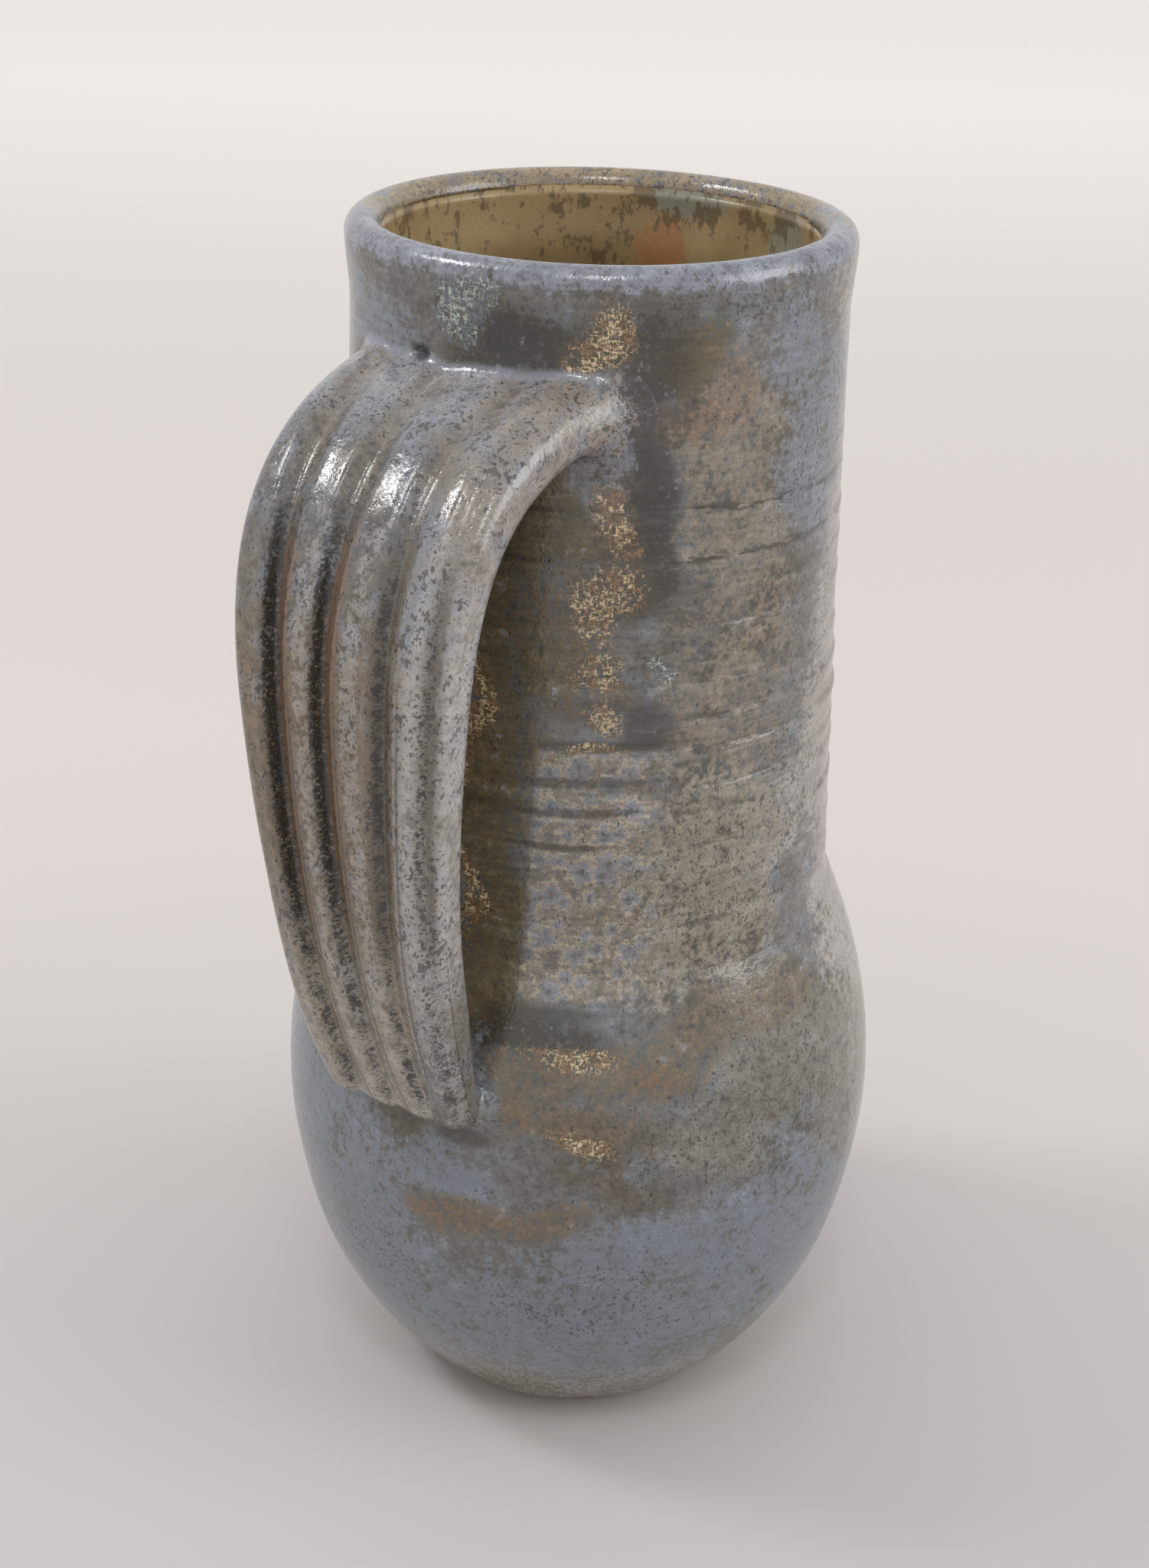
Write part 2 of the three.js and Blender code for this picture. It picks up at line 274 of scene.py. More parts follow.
def outer_wall(start):
    """Outside of the clay from a height up to the lip."""
    heights = np.arange(start, LIP_START, WALL_STEP)
    return np.stack([wall_radius(heights), heights], axis=1)


def lip():
    """Half-round lip, from the outside of the wall to the inside."""
    angles = np.linspace(0, math.pi, LIP_STEPS)
    radius = RIM_RADIUS + LIP_FLARE - LIP_RADIUS + LIP_RADIUS * np.cos(angles)
    return np.stack([radius, LIP_START + LIP_RADIUS * np.sin(angles)], axis=1)


def inner_wall():
    """Inside of the clay from below the lip down to the middle of the floor."""
    wall = offset_line(outer_wall(0), -WALL)[::-1]
    sides = wall[wall[:, 1] > FLOOR_THICKNESS + FLOOR_CORNER / 2]
    low = sides[-1]
    slope = (sides[-2, 0] - low[0]) / (sides[-2, 1] - low[1])
    corner = np.array([low[0] - slope * (low[1] - FLOOR_THICKNESS), FLOOR_THICKNESS])
    floor_edge = corner - [FLOOR_CORNER, 0]
    shares = np.linspace(0, 1, LIP_STEPS)[1:, None]
    turn = (1 - shares) ** 2 * low + 2 * shares * (1 - shares) * corner + shares ** 2 * floor_edge
    floor = np.linspace(floor_edge, [0, FLOOR_THICKNESS], LIP_STEPS)[1:]
    return np.concatenate([sides, turn, floor])


# Relief of the thrown wall

def view_angle(x, y):
    """Angle round the vessel from the side that faces the camera, in degrees."""
    turned = np.degrees(np.arctan2(y, x)) - CAMERA_AZIMUTH
    return (turned + 180) % 360 - 180


def height_above_ring(number, angle, height):
    """Height of a place above the edge of a throwing ring, which wanders round the wall."""
    turn = np.radians(angle)
    wander = np.sin(turn + 2.1 * number) + 0.5 * np.sin(3 * turn + number)
    return height - RINGS[number][0] - RING_WANDER * wander


def ring_share(number, angle):
    """How much of a ring shows at an angle."""
    turn = np.radians(angle)
    return 0.7 + 0.2 * np.sin(2 * turn + 1.7 * number) + 0.1 * np.sin(5 * turn + 2.9 * number)


def ring_lines(angle, height):
    """1 along the dark lines above the rings' edges and 0 between them."""
    lines = 0
    for number, (_, _, darkness) in enumerate(RINGS):
        above = height_above_ring(number, angle, height) - RING_LINE_RISE
        lines = lines + darkness * np.exp(-(above / RING_LINE_WIDTH) ** 2)
    shown = DASH_LEAST
    for middle in DASH_ANGLES:
        shown = np.maximum(shown, smooth(*DASH_REACH, np.abs((angle - middle + 180) % 360 - 180)))
    return np.minimum(lines * shown, 1)


def ring_ledge_highlights(angle, height):
    """1 along the painted highlights on the ledges below the rings' edges, brightest where they face the
    light, and 0 between them.
    """
    ledge_highlights = 0
    for number, (_, depth, _) in enumerate(RINGS):
        below = height_above_ring(number, angle, height) + RING_LEDGE_DROP
        shown = LEDGE_GAIN * depth * ring_share(number, angle)
        ledge_highlights = ledge_highlights + shown * np.exp(-(below / RING_LINE_WIDTH) ** 2)
    facing = np.maximum(np.cos(np.radians(angle - LEDGE_ANGLE)), 0)
    lit = LEDGE_LEAST + (1 - LEDGE_LEAST) * facing ** 2
    return np.minimum(ledge_highlights * lit, 1)


def pinhole(angle, height):
    """1 in the middle of the pit beside the upper joint, and 0 outside it."""
    sideways = np.radians(angle - PINHOLE[0]) * NECK_RADIUS / PINHOLE_REACH[0]
    upwards = (height - PINHOLE[1]) / PINHOLE_REACH[1]
    return np.exp(-np.hypot(sideways, upwards) ** 4)


def wall_relief(angle, height):
    """How far the wall's glaze stands out from the plain outline."""
    rings = 0
    for number, (_, depth, _) in enumerate(RINGS):
        above = height_above_ring(number, angle, height)
        below_edge = smooth(RING_TURN_OUT / 2, -RING_TURN_OUT / 2, above)
        fade = np.exp(np.minimum(above, 0) / RING_FADE)
        rings = rings + depth * ring_share(number, angle) * below_edge * fade
    turn = np.radians(angle)
    wobble = WOBBLE[0] * np.sin(2 * turn + height / 40) + WOBBLE[1] * np.sin(3 * turn - height / 23)
    relief = (rings - RING_MEAN + wobble) * smooth(*RELIEF_FOOT, height)
    relief = relief * (RELIEF_LEAST + (1 - RELIEF_LEAST) * smooth(*RELIEF_LIP, height))
    return relief - PINHOLE_DEPTH * pinhole(angle, height)


# Places on the wall where the glaze turned another colour, and where light, shade and reflections are painted
# on it: angle, height, half width and half height
ZONES = {
    "blue": (
        (-64, 62, 26, 38), (-44, 48, 22, 24), (-46, 30, 30, 20), (0, 35, 44, 20), (46, 48, 28, 26),
        (16, 54, 24, 10), (-28, 69, 13, 7), (-36, 62, 14, 10),
        (-62, 207, 16, 9), (60, 190, 12, 24), (47, 206, 9, 9), (150, 60, 60, 34), (-130, 150, 36, 50),
    ),
    # dark olive glaze, with a painted dark reflection across the middle of the neck
    "olive_and_reflection": (
        (-10, 208, 10, 7), (-22, 205, 10, 6), (9, 205, 9, 12), (10, 180, 6, 20), (-6, 93, 13, 5),
        (160, 190, 40, 24),
    ),
    # dark tobacco glaze, with painted shade and a painted dark reflection behind the handle and in the middle
    # of the neck
    "tobacco_and_shade": (
        (-28, 168, 13, 24), (-24, 136, 12, 24), (-20, 118, 8, 24), (-22, 98, 12, 14), (-17, 104, 6, 8),
        (-6, 160, 8, 14), (-12, 181, 9, 14), (20, 206, 7, 5),
    ),
    # paler glaze, with painted light and reflection on the sides of the wall, mostly on the right
    "pale": (
        (43, 128, 13, 11), (62, 130, 9, 14), (70, 160, 10, 26), (78, 190, 16, 34), (80, 140, 18, 40),
        (84, 90, 22, 30), (80, 50, 18, 26), (-86, 200, 10, 20),
    ),
    "sand": (
        (34, 180, 13, 28), (34, 150, 14, 18), (120, 140, 40, 50),
        (-170, 110, 40, 22),
    ),
    "rust": (
        (29, 199, 5, 6), (15, 89, 6, 3), (-13, 79, 4, 4), (-19, 60.5, 9, 3), (-24, 142, 3, 2.5),
        (135, 88, 26, 8), (-150, 70, 22, 7),
    ),
    "lichen": ((48, 84, 24, 12), (66, 72, 16, 20), (30, 75, 16, 8)),
    "khaki": ((180, 219, 60, 5), (118, 219, 24, 4), (-118, 219, 24, 4)),
    "beige": ((27, 124, 17, 20), (20, 108, 14, 9), (34, 112, 14, 14)),
    "ochre": (
        (41, 95, 16, 6), (27, 94, 14, 6), (14, 89, 12, 6), (-4, 87, 10, 5), (-8, 80, 9, 5), (6, 80, 12, 4),
        (-19, 60.5, 12, 5), (-6, 61, 9, 4),
    ),
    "violet": (
        (13, 192, 5, 13), (-14, 206, 8, 5), (13, 147, 6, 4.5), (8, 136.8, 8, 2),
        (-120, 180, 8, 26),
    ),
    # the lustre's flakes, painted bright as glints of lamp light, down the middle of the neck and belly and
    # by the handle
    "gold_glints": (
        (1, 210, 4, 8), (3, 181, 4.5, 9), (4.5, 168, 5.5, 10), (3, 156, 5, 5), (3.5, 149, 4.5, 3.5),
        (-2, 143.9, 8, 1), (1, 76, 8, 3), (0, 91, 8, 2.5), (-27, 150, 2.5, 22), (-27, 116, 2.5, 14),
        (170, 170, 6, 30),
    ),
    # the lustre's flakes, painted pale green as glints of a reflected window
    "sparkle": ((-27, 211, 7, 6), (19, 157, 3, 3), (-150, 185, 5, 8)),
    "smear": ((3, 195, 5, 6), (0, 187, 5, 8), (-17, 88, 3, 6), (-16, 82, 3, 1.5)),
    "specks": (
        (40, 80, 24, 14), (20, 73, 22, 9), (4, 40, 24, 10), (62, 198, 12, 22), (58, 168, 10, 30),
        (52, 130, 12, 22), (30, 118, 14, 16), (180, 219, 60, 6), (-48, 45, 12, 10), (35, 214, 26, 4),
        (150, 214, 50, 6), (170, 100, 50, 60),
    ),
}
BANDS_AND_SHADOW = (  # straighter bands: dark in the hollows of the rings, and a painted shadow below the strap's lower end
    (0, 138.8, 13, 1.3), (-3, 133.6, 12, 1.0), (-5, 127.6, 11, 0.9), (4, 145, 15, 1.2), (-8, 98, 12, 1.8),
    # painted shadow below the strap's lower end
    (-20.5, 76, 6, 2),
)
ZONE_EDGE = (1.5, 0.2)  # where a spot starts to show and where it is full, as shares of its half sizes
# Waves of the spots' edges: size, runs of height and angle for a radian, and shift
SIDEWAYS_WAVES = ((3.2, 6.1, 19, 0), (1.8, 2.7, 7, 2))
UPRIGHT_WAVES = ((1.5, 15, 8.3, 0), (0.9, 6, 3.7, 0))
CRYSTAL_ANGLES = (-13, -9.8, 2, 30)  # the crystals start sharply, at the painted edge of a reflection, and end softly
CRYSTAL_LEAN = 0.07  # turn of their start to the right for each millimetre up
CRYSTAL_HEIGHTS = (99.5, 101, 143, 146)


def edge_waves(waves, angle, height):
    return sum(size * np.sin(height / rise + angle / turn + shift) for size, rise, turn, shift in waves)


def zone(angle, height, spots, waviness=1.0):
    """1 in the middle of any of the spots, fading to 0 a little outside their wavy edges."""
    total = np.zeros(np.broadcast(angle, height).shape)
    turned = angle + waviness * edge_waves(SIDEWAYS_WAVES, angle, height)
    height = height + waviness * edge_waves(UPRIGHT_WAVES, angle, height)
    for middle, level, half_width, half_height in spots:
        turn = (turned - middle + 180) % 360 - 180
        sideways = np.radians(turn) * wall_radius(level)
        reach = np.hypot(sideways / half_width, (height - level) / half_height)
        total = np.maximum(total, smooth(*ZONE_EDGE, reach))
    return total


def wall_fields(points):
    """Values that the wall's glaze is painted by, for each point of a grid."""
    angle = view_angle(points[..., 0], points[..., 1])
    height = points[..., 2]
    fields = {key: zone(angle, height, spots) for key, spots in ZONES.items()}
    fields["band_and_shadow"] = zone(angle, height, BANDS_AND_SHADOW, 0.1)
    start, full, going, end = CRYSTAL_ANGLES
    upright = angle - CRYSTAL_LEAN * (height - np.mean(CRYSTAL_HEIGHTS))
    fields["crystal"] = smooth(start, full, upright) * smooth(end, going, angle)
    fields["crystal"] *= plateau(CRYSTAL_HEIGHTS, height)
    fields["line"] = ring_lines(angle, height)
    fields["ledge_highlight"] = ring_ledge_highlights(angle, height)
    fields["pit"] = pinhole(angle, height)
    return fields


# Meshes

def make_piece(name, points, closed_rows, attributes=None, normals_from=None):
    """A piece from a grid of points in rows, each row a closed ring. Attributes are values for each point."""
    rows, columns = points.shape[:2]
    index = np.arange(rows * columns).reshape(rows, columns)
    if closed_rows:
        index = np.concatenate([index, index[:1]])
    after = np.roll(index, -1, axis=1)
    faces = np.stack([index[:-1], after[:-1], after[1:], index[1:]], axis=-1).reshape(-1, 4)
    mesh = bpy.data.meshes.new(name)
    mesh.from_pydata((points.reshape(-1, 3) * MM).tolist(), [], faces.tolist())
    for key, values in (attributes or {}).items():
        attribute = mesh.attributes.new(key, "FLOAT", "POINT")
        attribute.data.foreach_set("value", np.ascontiguousarray(values, np.float32).ravel())
    mesh.shade_smooth()
    mesh.update()
    if normals_from is not None:
        mesh.normals_split_custom_set_from_vertices(normals_from.reshape(-1, 3).tolist())
    piece = bpy.data.objects.new(name, mesh)
    bpy.context.scene.collection.objects.link(piece)
    return piece


def revolve(line, segments):
    """A grid of points from an outline of radius and height, with a ring for each point of the outline."""
    turn = np.linspace(0, 2 * math.pi, segments, endpoint=False)
    radius, height = line[:, :1], line[:, 1:]
    return np.stack([radius * np.cos(turn), radius * np.sin(turn), height + 0 * turn], axis=-1)


def stand_for(piece, node, material):
    """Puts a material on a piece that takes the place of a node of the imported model."""
    piece.data.materials.append(material)
    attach(piece, "root")
    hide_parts(node)


def make_outer_glaze(material):
    clay = np.concatenate([outer_wall(GLAZE_LINE), lip()])
    sides = outline_sides(clay)
    rounding = np.sqrt(1 - (1 - np.clip((clay[:, 1] - GLAZE_LINE) / EDGE_SWELL, 0, 1)) ** 2)
    rounding[-LIP_STEPS:] = 1
    far = clay + sides * (COAT_GAP + COAT * rounding)[:, None]
    near = (clay + sides * COAT_GAP)[::-1][::4]
    grid = revolve(np.concatenate([far, near]), WALL_SEGMENTS)
    angle = view_angle(grid[..., 0], grid[..., 1])
    height = grid[..., 2]
    relief = wall_relief(angle, height)
    relief[len(clay):] = 0
    side = np.zeros((len(grid), 2))
    side[:len(clay)] = sides
    radius = np.hypot(grid[..., 0], grid[..., 1])
    grown = (radius + relief * side[:, :1]) / radius
    grid[..., :2] *= grown[..., None]
    grid[..., 2] += relief * side[:, 1:]
    lower_edge = smooth(EDGE_REACH, GLAZE_LINE, height)
    wave = np.sin(np.radians(3 * angle) + 1) + 0.6 * np.sin(np.radians(7 * angle))
    lift = GLAZE_EDGE_WAVE * lower_edge * (wave + 0.4 * np.sin(np.radians(16 * angle)))
    follow = (wall_radius(height + lift) - wall_radius(height)) / radius + 1
    grid[..., :2] *= follow[..., None]
    grid[..., 2] += lift
    piece = make_piece("glaze_outside", grid, True, wall_fields(grid))
    stand_for(piece, "outer_glaze", material)


def make_liner(material):
    lip_end = lip()[-1]
    clay = np.concatenate([[lip_end + [0, LINER_TUCK]], inner_wall()[2:]])
    far = offset_line(clay, SKIN)
    far[0, 0] = lip_end[0] - SKIN + LINER_TUCK / 2
    near = offset_line(clay, COAT_GAP)[::-1]
    far[-1, 0] = near[0, 0] = AXIS_RADIUS
    rings = np.sin(far[:, 1] / LINER_RING_RUN) * smooth(*LINER_RING_HEIGHTS, far[:, 1])
    far[:, 0] -= LINER_RING * rings
    piece = make_piece("glaze_inside", revolve(np.concatenate([far, near[::3]]), WALL_SEGMENTS // 2), True)
    stand_for(piece, "liner_glaze", material)


def make_clay_body(material):
    outside = outer_wall(0)
    foot = np.array([[AXIS_RADIUS, 0], [FOOT_RADIUS / 2, 0], [FOOT_RADIUS - FOOT_CHAMFER, 0]])
    outside = outside[outside[:, 1] > FOOT_CHAMFER]
    line = np.concatenate([foot, outside, lip(), inner_wall()[2:]])
    line[-1, 0] = AXIS_RADIUS
    piece = make_piece("clay_body", revolve(line, WALL_SEGMENTS // 2), True)
    stand_for(piece, "thrown_body", material)


# The strap handle

def cubic(points, share):
    """A cubic curve at shares of its run."""
    start, first, second, end = points
    away = 1 - share
    early = away ** 3 * start + 3 * away ** 2 * share * first
    return early + 3 * away * share ** 2 * second + share ** 3 * end


def strap_path():
    """Points along the middle of the strap, from inside the neck to inside the belly, as -X and height."""
    def chord(height, width):
        return math.sqrt(wall_radius(height) ** 2 - (width / 2) ** 2)

    root = np.array([chord(ROOT_HEIGHT, STRAP_ROOT_WIDTH) - ROOT_DEPTH, ROOT_HEIGHT])
    reach = wall_radius(REACH_HEIGHT) + SKIN + FINGER_GAP + SKIN + STRAP_THICKNESS / 2
    far = np.array([reach, REACH_HEIGHT])
    end = np.array([chord(END_HEIGHT, STRAP_END_WIDTH) - END_DEPTH, END_HEIGHT])
    shares = np.linspace(0, 1, PATH_STEPS)[:, None]
    upper = cubic((root, root + [ROOT_LEVEL_RUN, 0], far + [0, REACH_RUN], far), shares)
    lower = cubic((far, far - [0, REACH_RUN], end + [END_RUN_OUT, END_RUN_UP], end), shares)
    return np.concatenate([upper, lower[1:]])


PATH = strap_path()
PATH_RUN = np.concatenate([[0], np.cumsum(np.linalg.norm(np.diff(PATH, axis=0), axis=1))])
PATH_SHARE = PATH_RUN / PATH_RUN[-1]
PATH_ALONG = np.gradient(PATH, axis=0)
PATH_ALONG /= np.linalg.norm(PATH_ALONG, axis=1, keepdims=True)
HALF_THICKNESS = STRAP_THICKNESS / 2 + SKIN
SIDE_TOP = HALF_THICKNESS - EDGE_ROUND  # rise at which that rounding meets the side, along the grip


def edge_round(share):
    """Rounding between the outer face and the sides at a share of the path."""
    return EDGE_ROUND + (ROOT_ROUND - EDGE_ROUND) * smooth(*ROOT_ROUND_RUN, share)


def half_width(share, across=0.0):
    """Half the glazed strap's width, on the side that a place across it lies on."""
    even = STRAP_ROOT_WIDTH / 2 + (STRAP_END_WIDTH - STRAP_ROOT_WIDTH) / 2 * share + SKIN
    low_gain = LOW_GAIN * smooth(*LOW_RUN, share)
    mid_gain = MID_GAIN * plateau(MID_RUN, share)
    return even + np.where(np.asarray(across) > 0, low_gain, mid_gain)


def strap_outline():
    """The glazed strap's outline: share of the half width, sideways inset, rise and facing of each point."""
    edge = STRAP_EDGE + SKIN
    even = np.linspace(-1, 1, FACE_STEPS + 1)
    outer = []
    for a in 1.5 * even - 0.5 * even ** 3:
        lean = np.clip(1 - (1 - abs(a)) * half_width(0.5) / EDGE_ROUND, 0, 1) * np.sign(a)
        outer.append((a, 0, HALF_THICKNESS, lean, math.sqrt(1 - lean ** 2)))
    corner = np.linspace(0, math.pi / 2, EDGE_STEPS)
    side = [(1, 0, h, 1, 0) for h in np.linspace(SIDE_TOP, edge - HALF_THICKNESS, EDGE_STEPS)[1:-1]]
    turn = []
    for t in corner:
        inset = edge * (1 - math.cos(t))
        rise = edge * (1 - math.sin(t)) - HALF_THICKNESS
        turn.append((1, inset, rise, math.cos(t), -math.sin(t)))
    under = [(a, abs(a) * edge, -HALF_THICKNESS, 0, -1) for a in np.linspace(1, -1, UNDER_STEPS)[1:-1]]
    mirrored = [(-a, inset, h, -u, v) for a, inset, h, u, v in (side + turn)[::-1]]
    rows = outer + side + turn + under + mirrored
    table = np.array(rows, float)
    return {
        "width": table[:, 0],
        "inset": table[:, 1],
        "rise": table[:, 2],
        "facing": table[:, 3:5],
        "outer": np.arange(len(rows)) < len(outer),
    }


OUTLINE = strap_outline()


def from_groove(number, across, share):
    """Distance of a place on the outer face from the bottom of a groove, positive towards +Y."""
    first, last = GROOVES[number][:2]
    wander = GROOVE_WANDER * np.sin(14 * share + 2 * number)
    place = first + (last - first) * smooth(*GROOVE_SHIFT, share) + wander
    spread = 1 + GROOVE_SPREAD * smooth(*SPREAD_RUN, share)
    return (across - place) * half_width(share, across) / spread


def groove_strength(share):
    """Grooves are shallow at the root, deep along the grip and shallower again at the lower end."""
    strength = GROOVE_ROOT
    for gain, start, stop in GROOVE_GAINS:
        strength = strength + gain * smooth(start, stop, share)
    for loss, start, stop in GROOVE_LOSSES:
        strength = strength * (1 - loss * smooth(start, stop, share))
    return strength


def face_drop(across, share):
    """How deep the outer face lies below the strap's full thickness: its grooves, and its rounded edges."""
    drop = 0
    ridge = 0
    for number, groove in enumerate(GROOVES):
        away = from_groove(number, across, share)
        steep = 1 - smooth(0, GROOVE_STEEP, away)
        gentle = 1 - smooth(0, GROOVE_GENTLE, -away)
        drop = np.maximum(drop, groove[2] * np.where(away > 0, steep, gentle))
        ridge = ridge + RIDGE * np.exp(-((away - GROOVE_STEEP) / RIDGE_WIDTH) ** 2)
    radius = edge_round(share)
    from_edge = np.clip((1 - np.abs(across)) * half_width(share, across), 0, radius)
    edge = radius - np.sqrt(radius ** 2 - (radius - from_edge) ** 2)
    return (drop - ridge) * groove_strength(share) + edge


def end_cap(share):
    """How deep the rounding of the strap's lower end cuts into the outer face."""
    start, stop = END_CAP
    part = (share - start) / (stop - start)
    quarter = 1 - np.sqrt(1 - np.clip(part, 0, 1) ** 2)
    return END_CAP_DROP * (quarter + np.maximum(part - 1, 0))


def strap_points(share, spread):
    """Places on the glazed strap at a share of its path for each point of the outline, grown by a spread."""
    share = np.broadcast_to(share, OUTLINE["width"].shape)
    middle = np.stack([np.interp(share, PATH_SHARE, PATH[:, i]) for i in (0, 1)], axis=1)
    along = np.stack([np.interp(share, PATH_SHARE, PATH_ALONG[:, i]) for i in (0, 1)], axis=1)
    along /= np.linalg.norm(along, axis=1, keepdims=True)
    out = np.stack([-along[:, 1], along[:, 0]], axis=1)
    sideways = OUTLINE["width"] * half_width(share, OUTLINE["width"])
    sideways = sideways - np.sign(OUTLINE["width"]) * OUTLINE["inset"]
    face = OUTLINE["rise"] - face_drop(OUTLINE["width"], share) - end_cap(share)
    thinning = LOW_THINNING * smooth(*THIN_RUN, share) * smooth(SIDE_TOP, -HALF_THICKNESS, OUTLINE["rise"])
    side = np.minimum(OUTLINE["rise"] + thinning, HALF_THICKNESS - edge_round(share) - end_cap(share))
    rise = np.where(OUTLINE["outer"], face, side)
    sideways = sideways + OUTLINE["facing"][:, 0] * spread
    rise = rise + OUTLINE["facing"][:, 1] * spread
    return np.stack([-(middle[:, 0] + out[:, 0] * rise), sideways, middle[:, 1] + out[:, 1] * rise], axis=1)


def wall_distance(points):
    """Level distance of places from the vessel's glaze."""
    relief = wall_relief(view_angle(points[:, 0], points[:, 1]), points[:, 2])
    return np.hypot(points[:, 0], points[:, 1]) - wall_radius(points[:, 2]) - SKIN - relief


def share_at_distance(end, distance):
    """Share of the path, between its middle and one end, where each point of the outline nears the wall."""
    clear = np.full(OUTLINE["width"].shape, 0.5)
    buried = np.full(OUTLINE["width"].shape, float(end))
    for _ in range(PATH_HALVINGS):
        middle = (clear + buried) / 2
        outside = wall_distance(strap_points(middle, 0)) > distance
        clear = np.where(outside, middle, clear)
        buried = np.where(outside, buried, middle)
    return clear


def fillet_row(end, distance, spread):
    """A ring of a fillet: a distance from the wall and a spread from the strap."""
    share = share_at_distance(end, distance)
    points = strap_points(share, spread)
    reach = np.hypot(points[:, 0], points[:, 1])
    grown = (reach - wall_distance(points) + distance) / reach
    points[:, :2] *= grown[:, None]
    return points, share


def fillet_rows(end, climbs, flares):
    """Rings of a quarter-round fillet, from the strap down to its foot in the wall."""
    turn = np.degrees(np.arctan2(OUTLINE["facing"][:, 1], OUTLINE["facing"][:, 0]))
    climb = np.interp(turn, FILLET_PLACES, climbs)
    flare = np.interp(turn, FILLET_PLACES, flares)
    rows = []
    for angle in np.linspace(0, math.pi / 2, FILLET_ROWS):
        rows.append(fillet_row(end, climb * (1 - math.sin(angle)), flare * (1 - math.cos(angle))))
    rows.append(fillet_row(end, -TUCK, flare + TUCK))
    return rows


def grid_normals(points):
    """Smooth unit normals of a grid whose rows are closed rings."""
    along = np.gradient(points, axis=0)
    across = np.roll(points, -1, axis=1) - np.roll(points, 1, axis=1)
    normals = np.cross(across, along)
    return normals / np.maximum(np.linalg.norm(normals, axis=2, keepdims=True), 1e-9)


def strap_fields(shares, across):
    """Values that the strap's glaze is painted by, round its grooves and along its ribs."""
    dark = rust = crack = valley = trough = crest = 0
    grip = smooth(*GRIP_RUN, shares)
    lower = smooth(*LOWER_RUN, shares)
    tip = smooth(*TIP_RUN, shares)
    for number, (_, _, _, darkness, rustiness, low_darkness) in enumerate(GROOVES):
        away = from_groove(number, across, shares)
        steep = plateau(STEEP_BAND, away)
        gentle = plateau(GENTLE_BAND, away)
        # dark glaze and painted shade on each groove's steep side
        dark = np.maximum(dark, steep * grip * tip * (darkness + (low_darkness - darkness) * lower))
        rust = np.maximum(rust, gentle * rustiness * grip * (1 - 0.75 * lower))
        crest = np.maximum(crest, plateau(CREST_BAND, away) * grip)
        cracked = np.exp(-((away + GROOVE_GENTLE) / CRACK_WIDTH) ** 2)
        crack = np.maximum(crack, cracked * smooth(*CRACK_RUN, shares))
        valley = np.maximum(valley, np.exp(-(away / VALLEY_WIDTH) ** 2) * (1 - grip))
        drab = np.exp(-(away / TROUGH_WIDTH) ** 2) * grip * (1 - lower)
        trough = np.maximum(trough, drab * (number >= FIRST_DRAB))
    fields = {
        "dark": dark,
        "rust_side": rust,
        "crack": crack,
        "valley": valley,
        "trough": trough,
        "crest": crest,
    }
    return {key: np.where(OUTLINE["outer"], values, 0) for key, values in fields.items()}


def make_clay_strap(material):
    """The strap's clay, a coat's thickness inside its glaze."""
    first, last = share_at_distance(0, -COAT_GAP), share_at_distance(1, -COAT_GAP)
    rows = [strap_points(first + (last - first) * part, -SKIN) for part in np.linspace(0, 1, CLAY_ROWS)]
    piece = make_piece("clay_strap", np.array(rows), False)
    stand_for(piece, "handle_strap", material)


def make_handle(strap_material, luting_material):
    upper = fillet_rows(0, UPPER_CLIMB, UPPER_FLARE)[::-1]
    lower = fillet_rows(1, LOWER_CLIMB, LOWER_FLARE)
    first, last = upper[-1][1], lower[0][1]
    strap = []
    for part in np.linspace(0, 1, STRAP_ROWS):
        share = first + (last - first) * (1 - (1 - part) ** STRAP_CROWDING)
        strap.append((strap_points(share, 0), share))
    rows = upper[:-1] + strap + lower[1:]
    points = np.array([row for row, _ in rows])
    shares = np.array([share for _, share in rows])
    across = np.broadcast_to(OUTLINE["width"], shares.shape)
    on_strap = np.ones(shares.shape)
    on_strap[:len(upper)] = np.linspace(0, 1, len(upper))[:, None]
    on_strap[-len(lower):] = np.linspace(1, 0, len(lower))[:, None]
    fields = {"along": shares, "across": across, "strap": on_strap}
    fields.update(strap_fields(shares, across))
    fields.update(wall_fields(points))
    fields["pool"] = np.where(OUTLINE["outer"], smooth(1, 0.85, np.abs(across)), 0) * smooth(0.5, 0.2, shares)
    normals = grid_normals(points)
    start = len(upper) - 1
    stop = start + STRAP_ROWS - 1
    parts = [
        ("luting_upper", "upper_luting", "outer_glaze", luting_material, slice(0, start + 1)),
        ("glaze_strap", "handle_glaze", "handle_glaze", strap_material, slice(start, stop + 1)),
        ("luting_lower", "lower_luting", "outer_glaze", luting_material, slice(stop, len(rows))),
    ]
    for name, node, slot, material, part in parts:
        values = {key: field[part] for key, field in fields.items()}
        piece = make_piece(name, points[part], False, values, normals[part])
        stand_for(piece, node, material)


# Materials

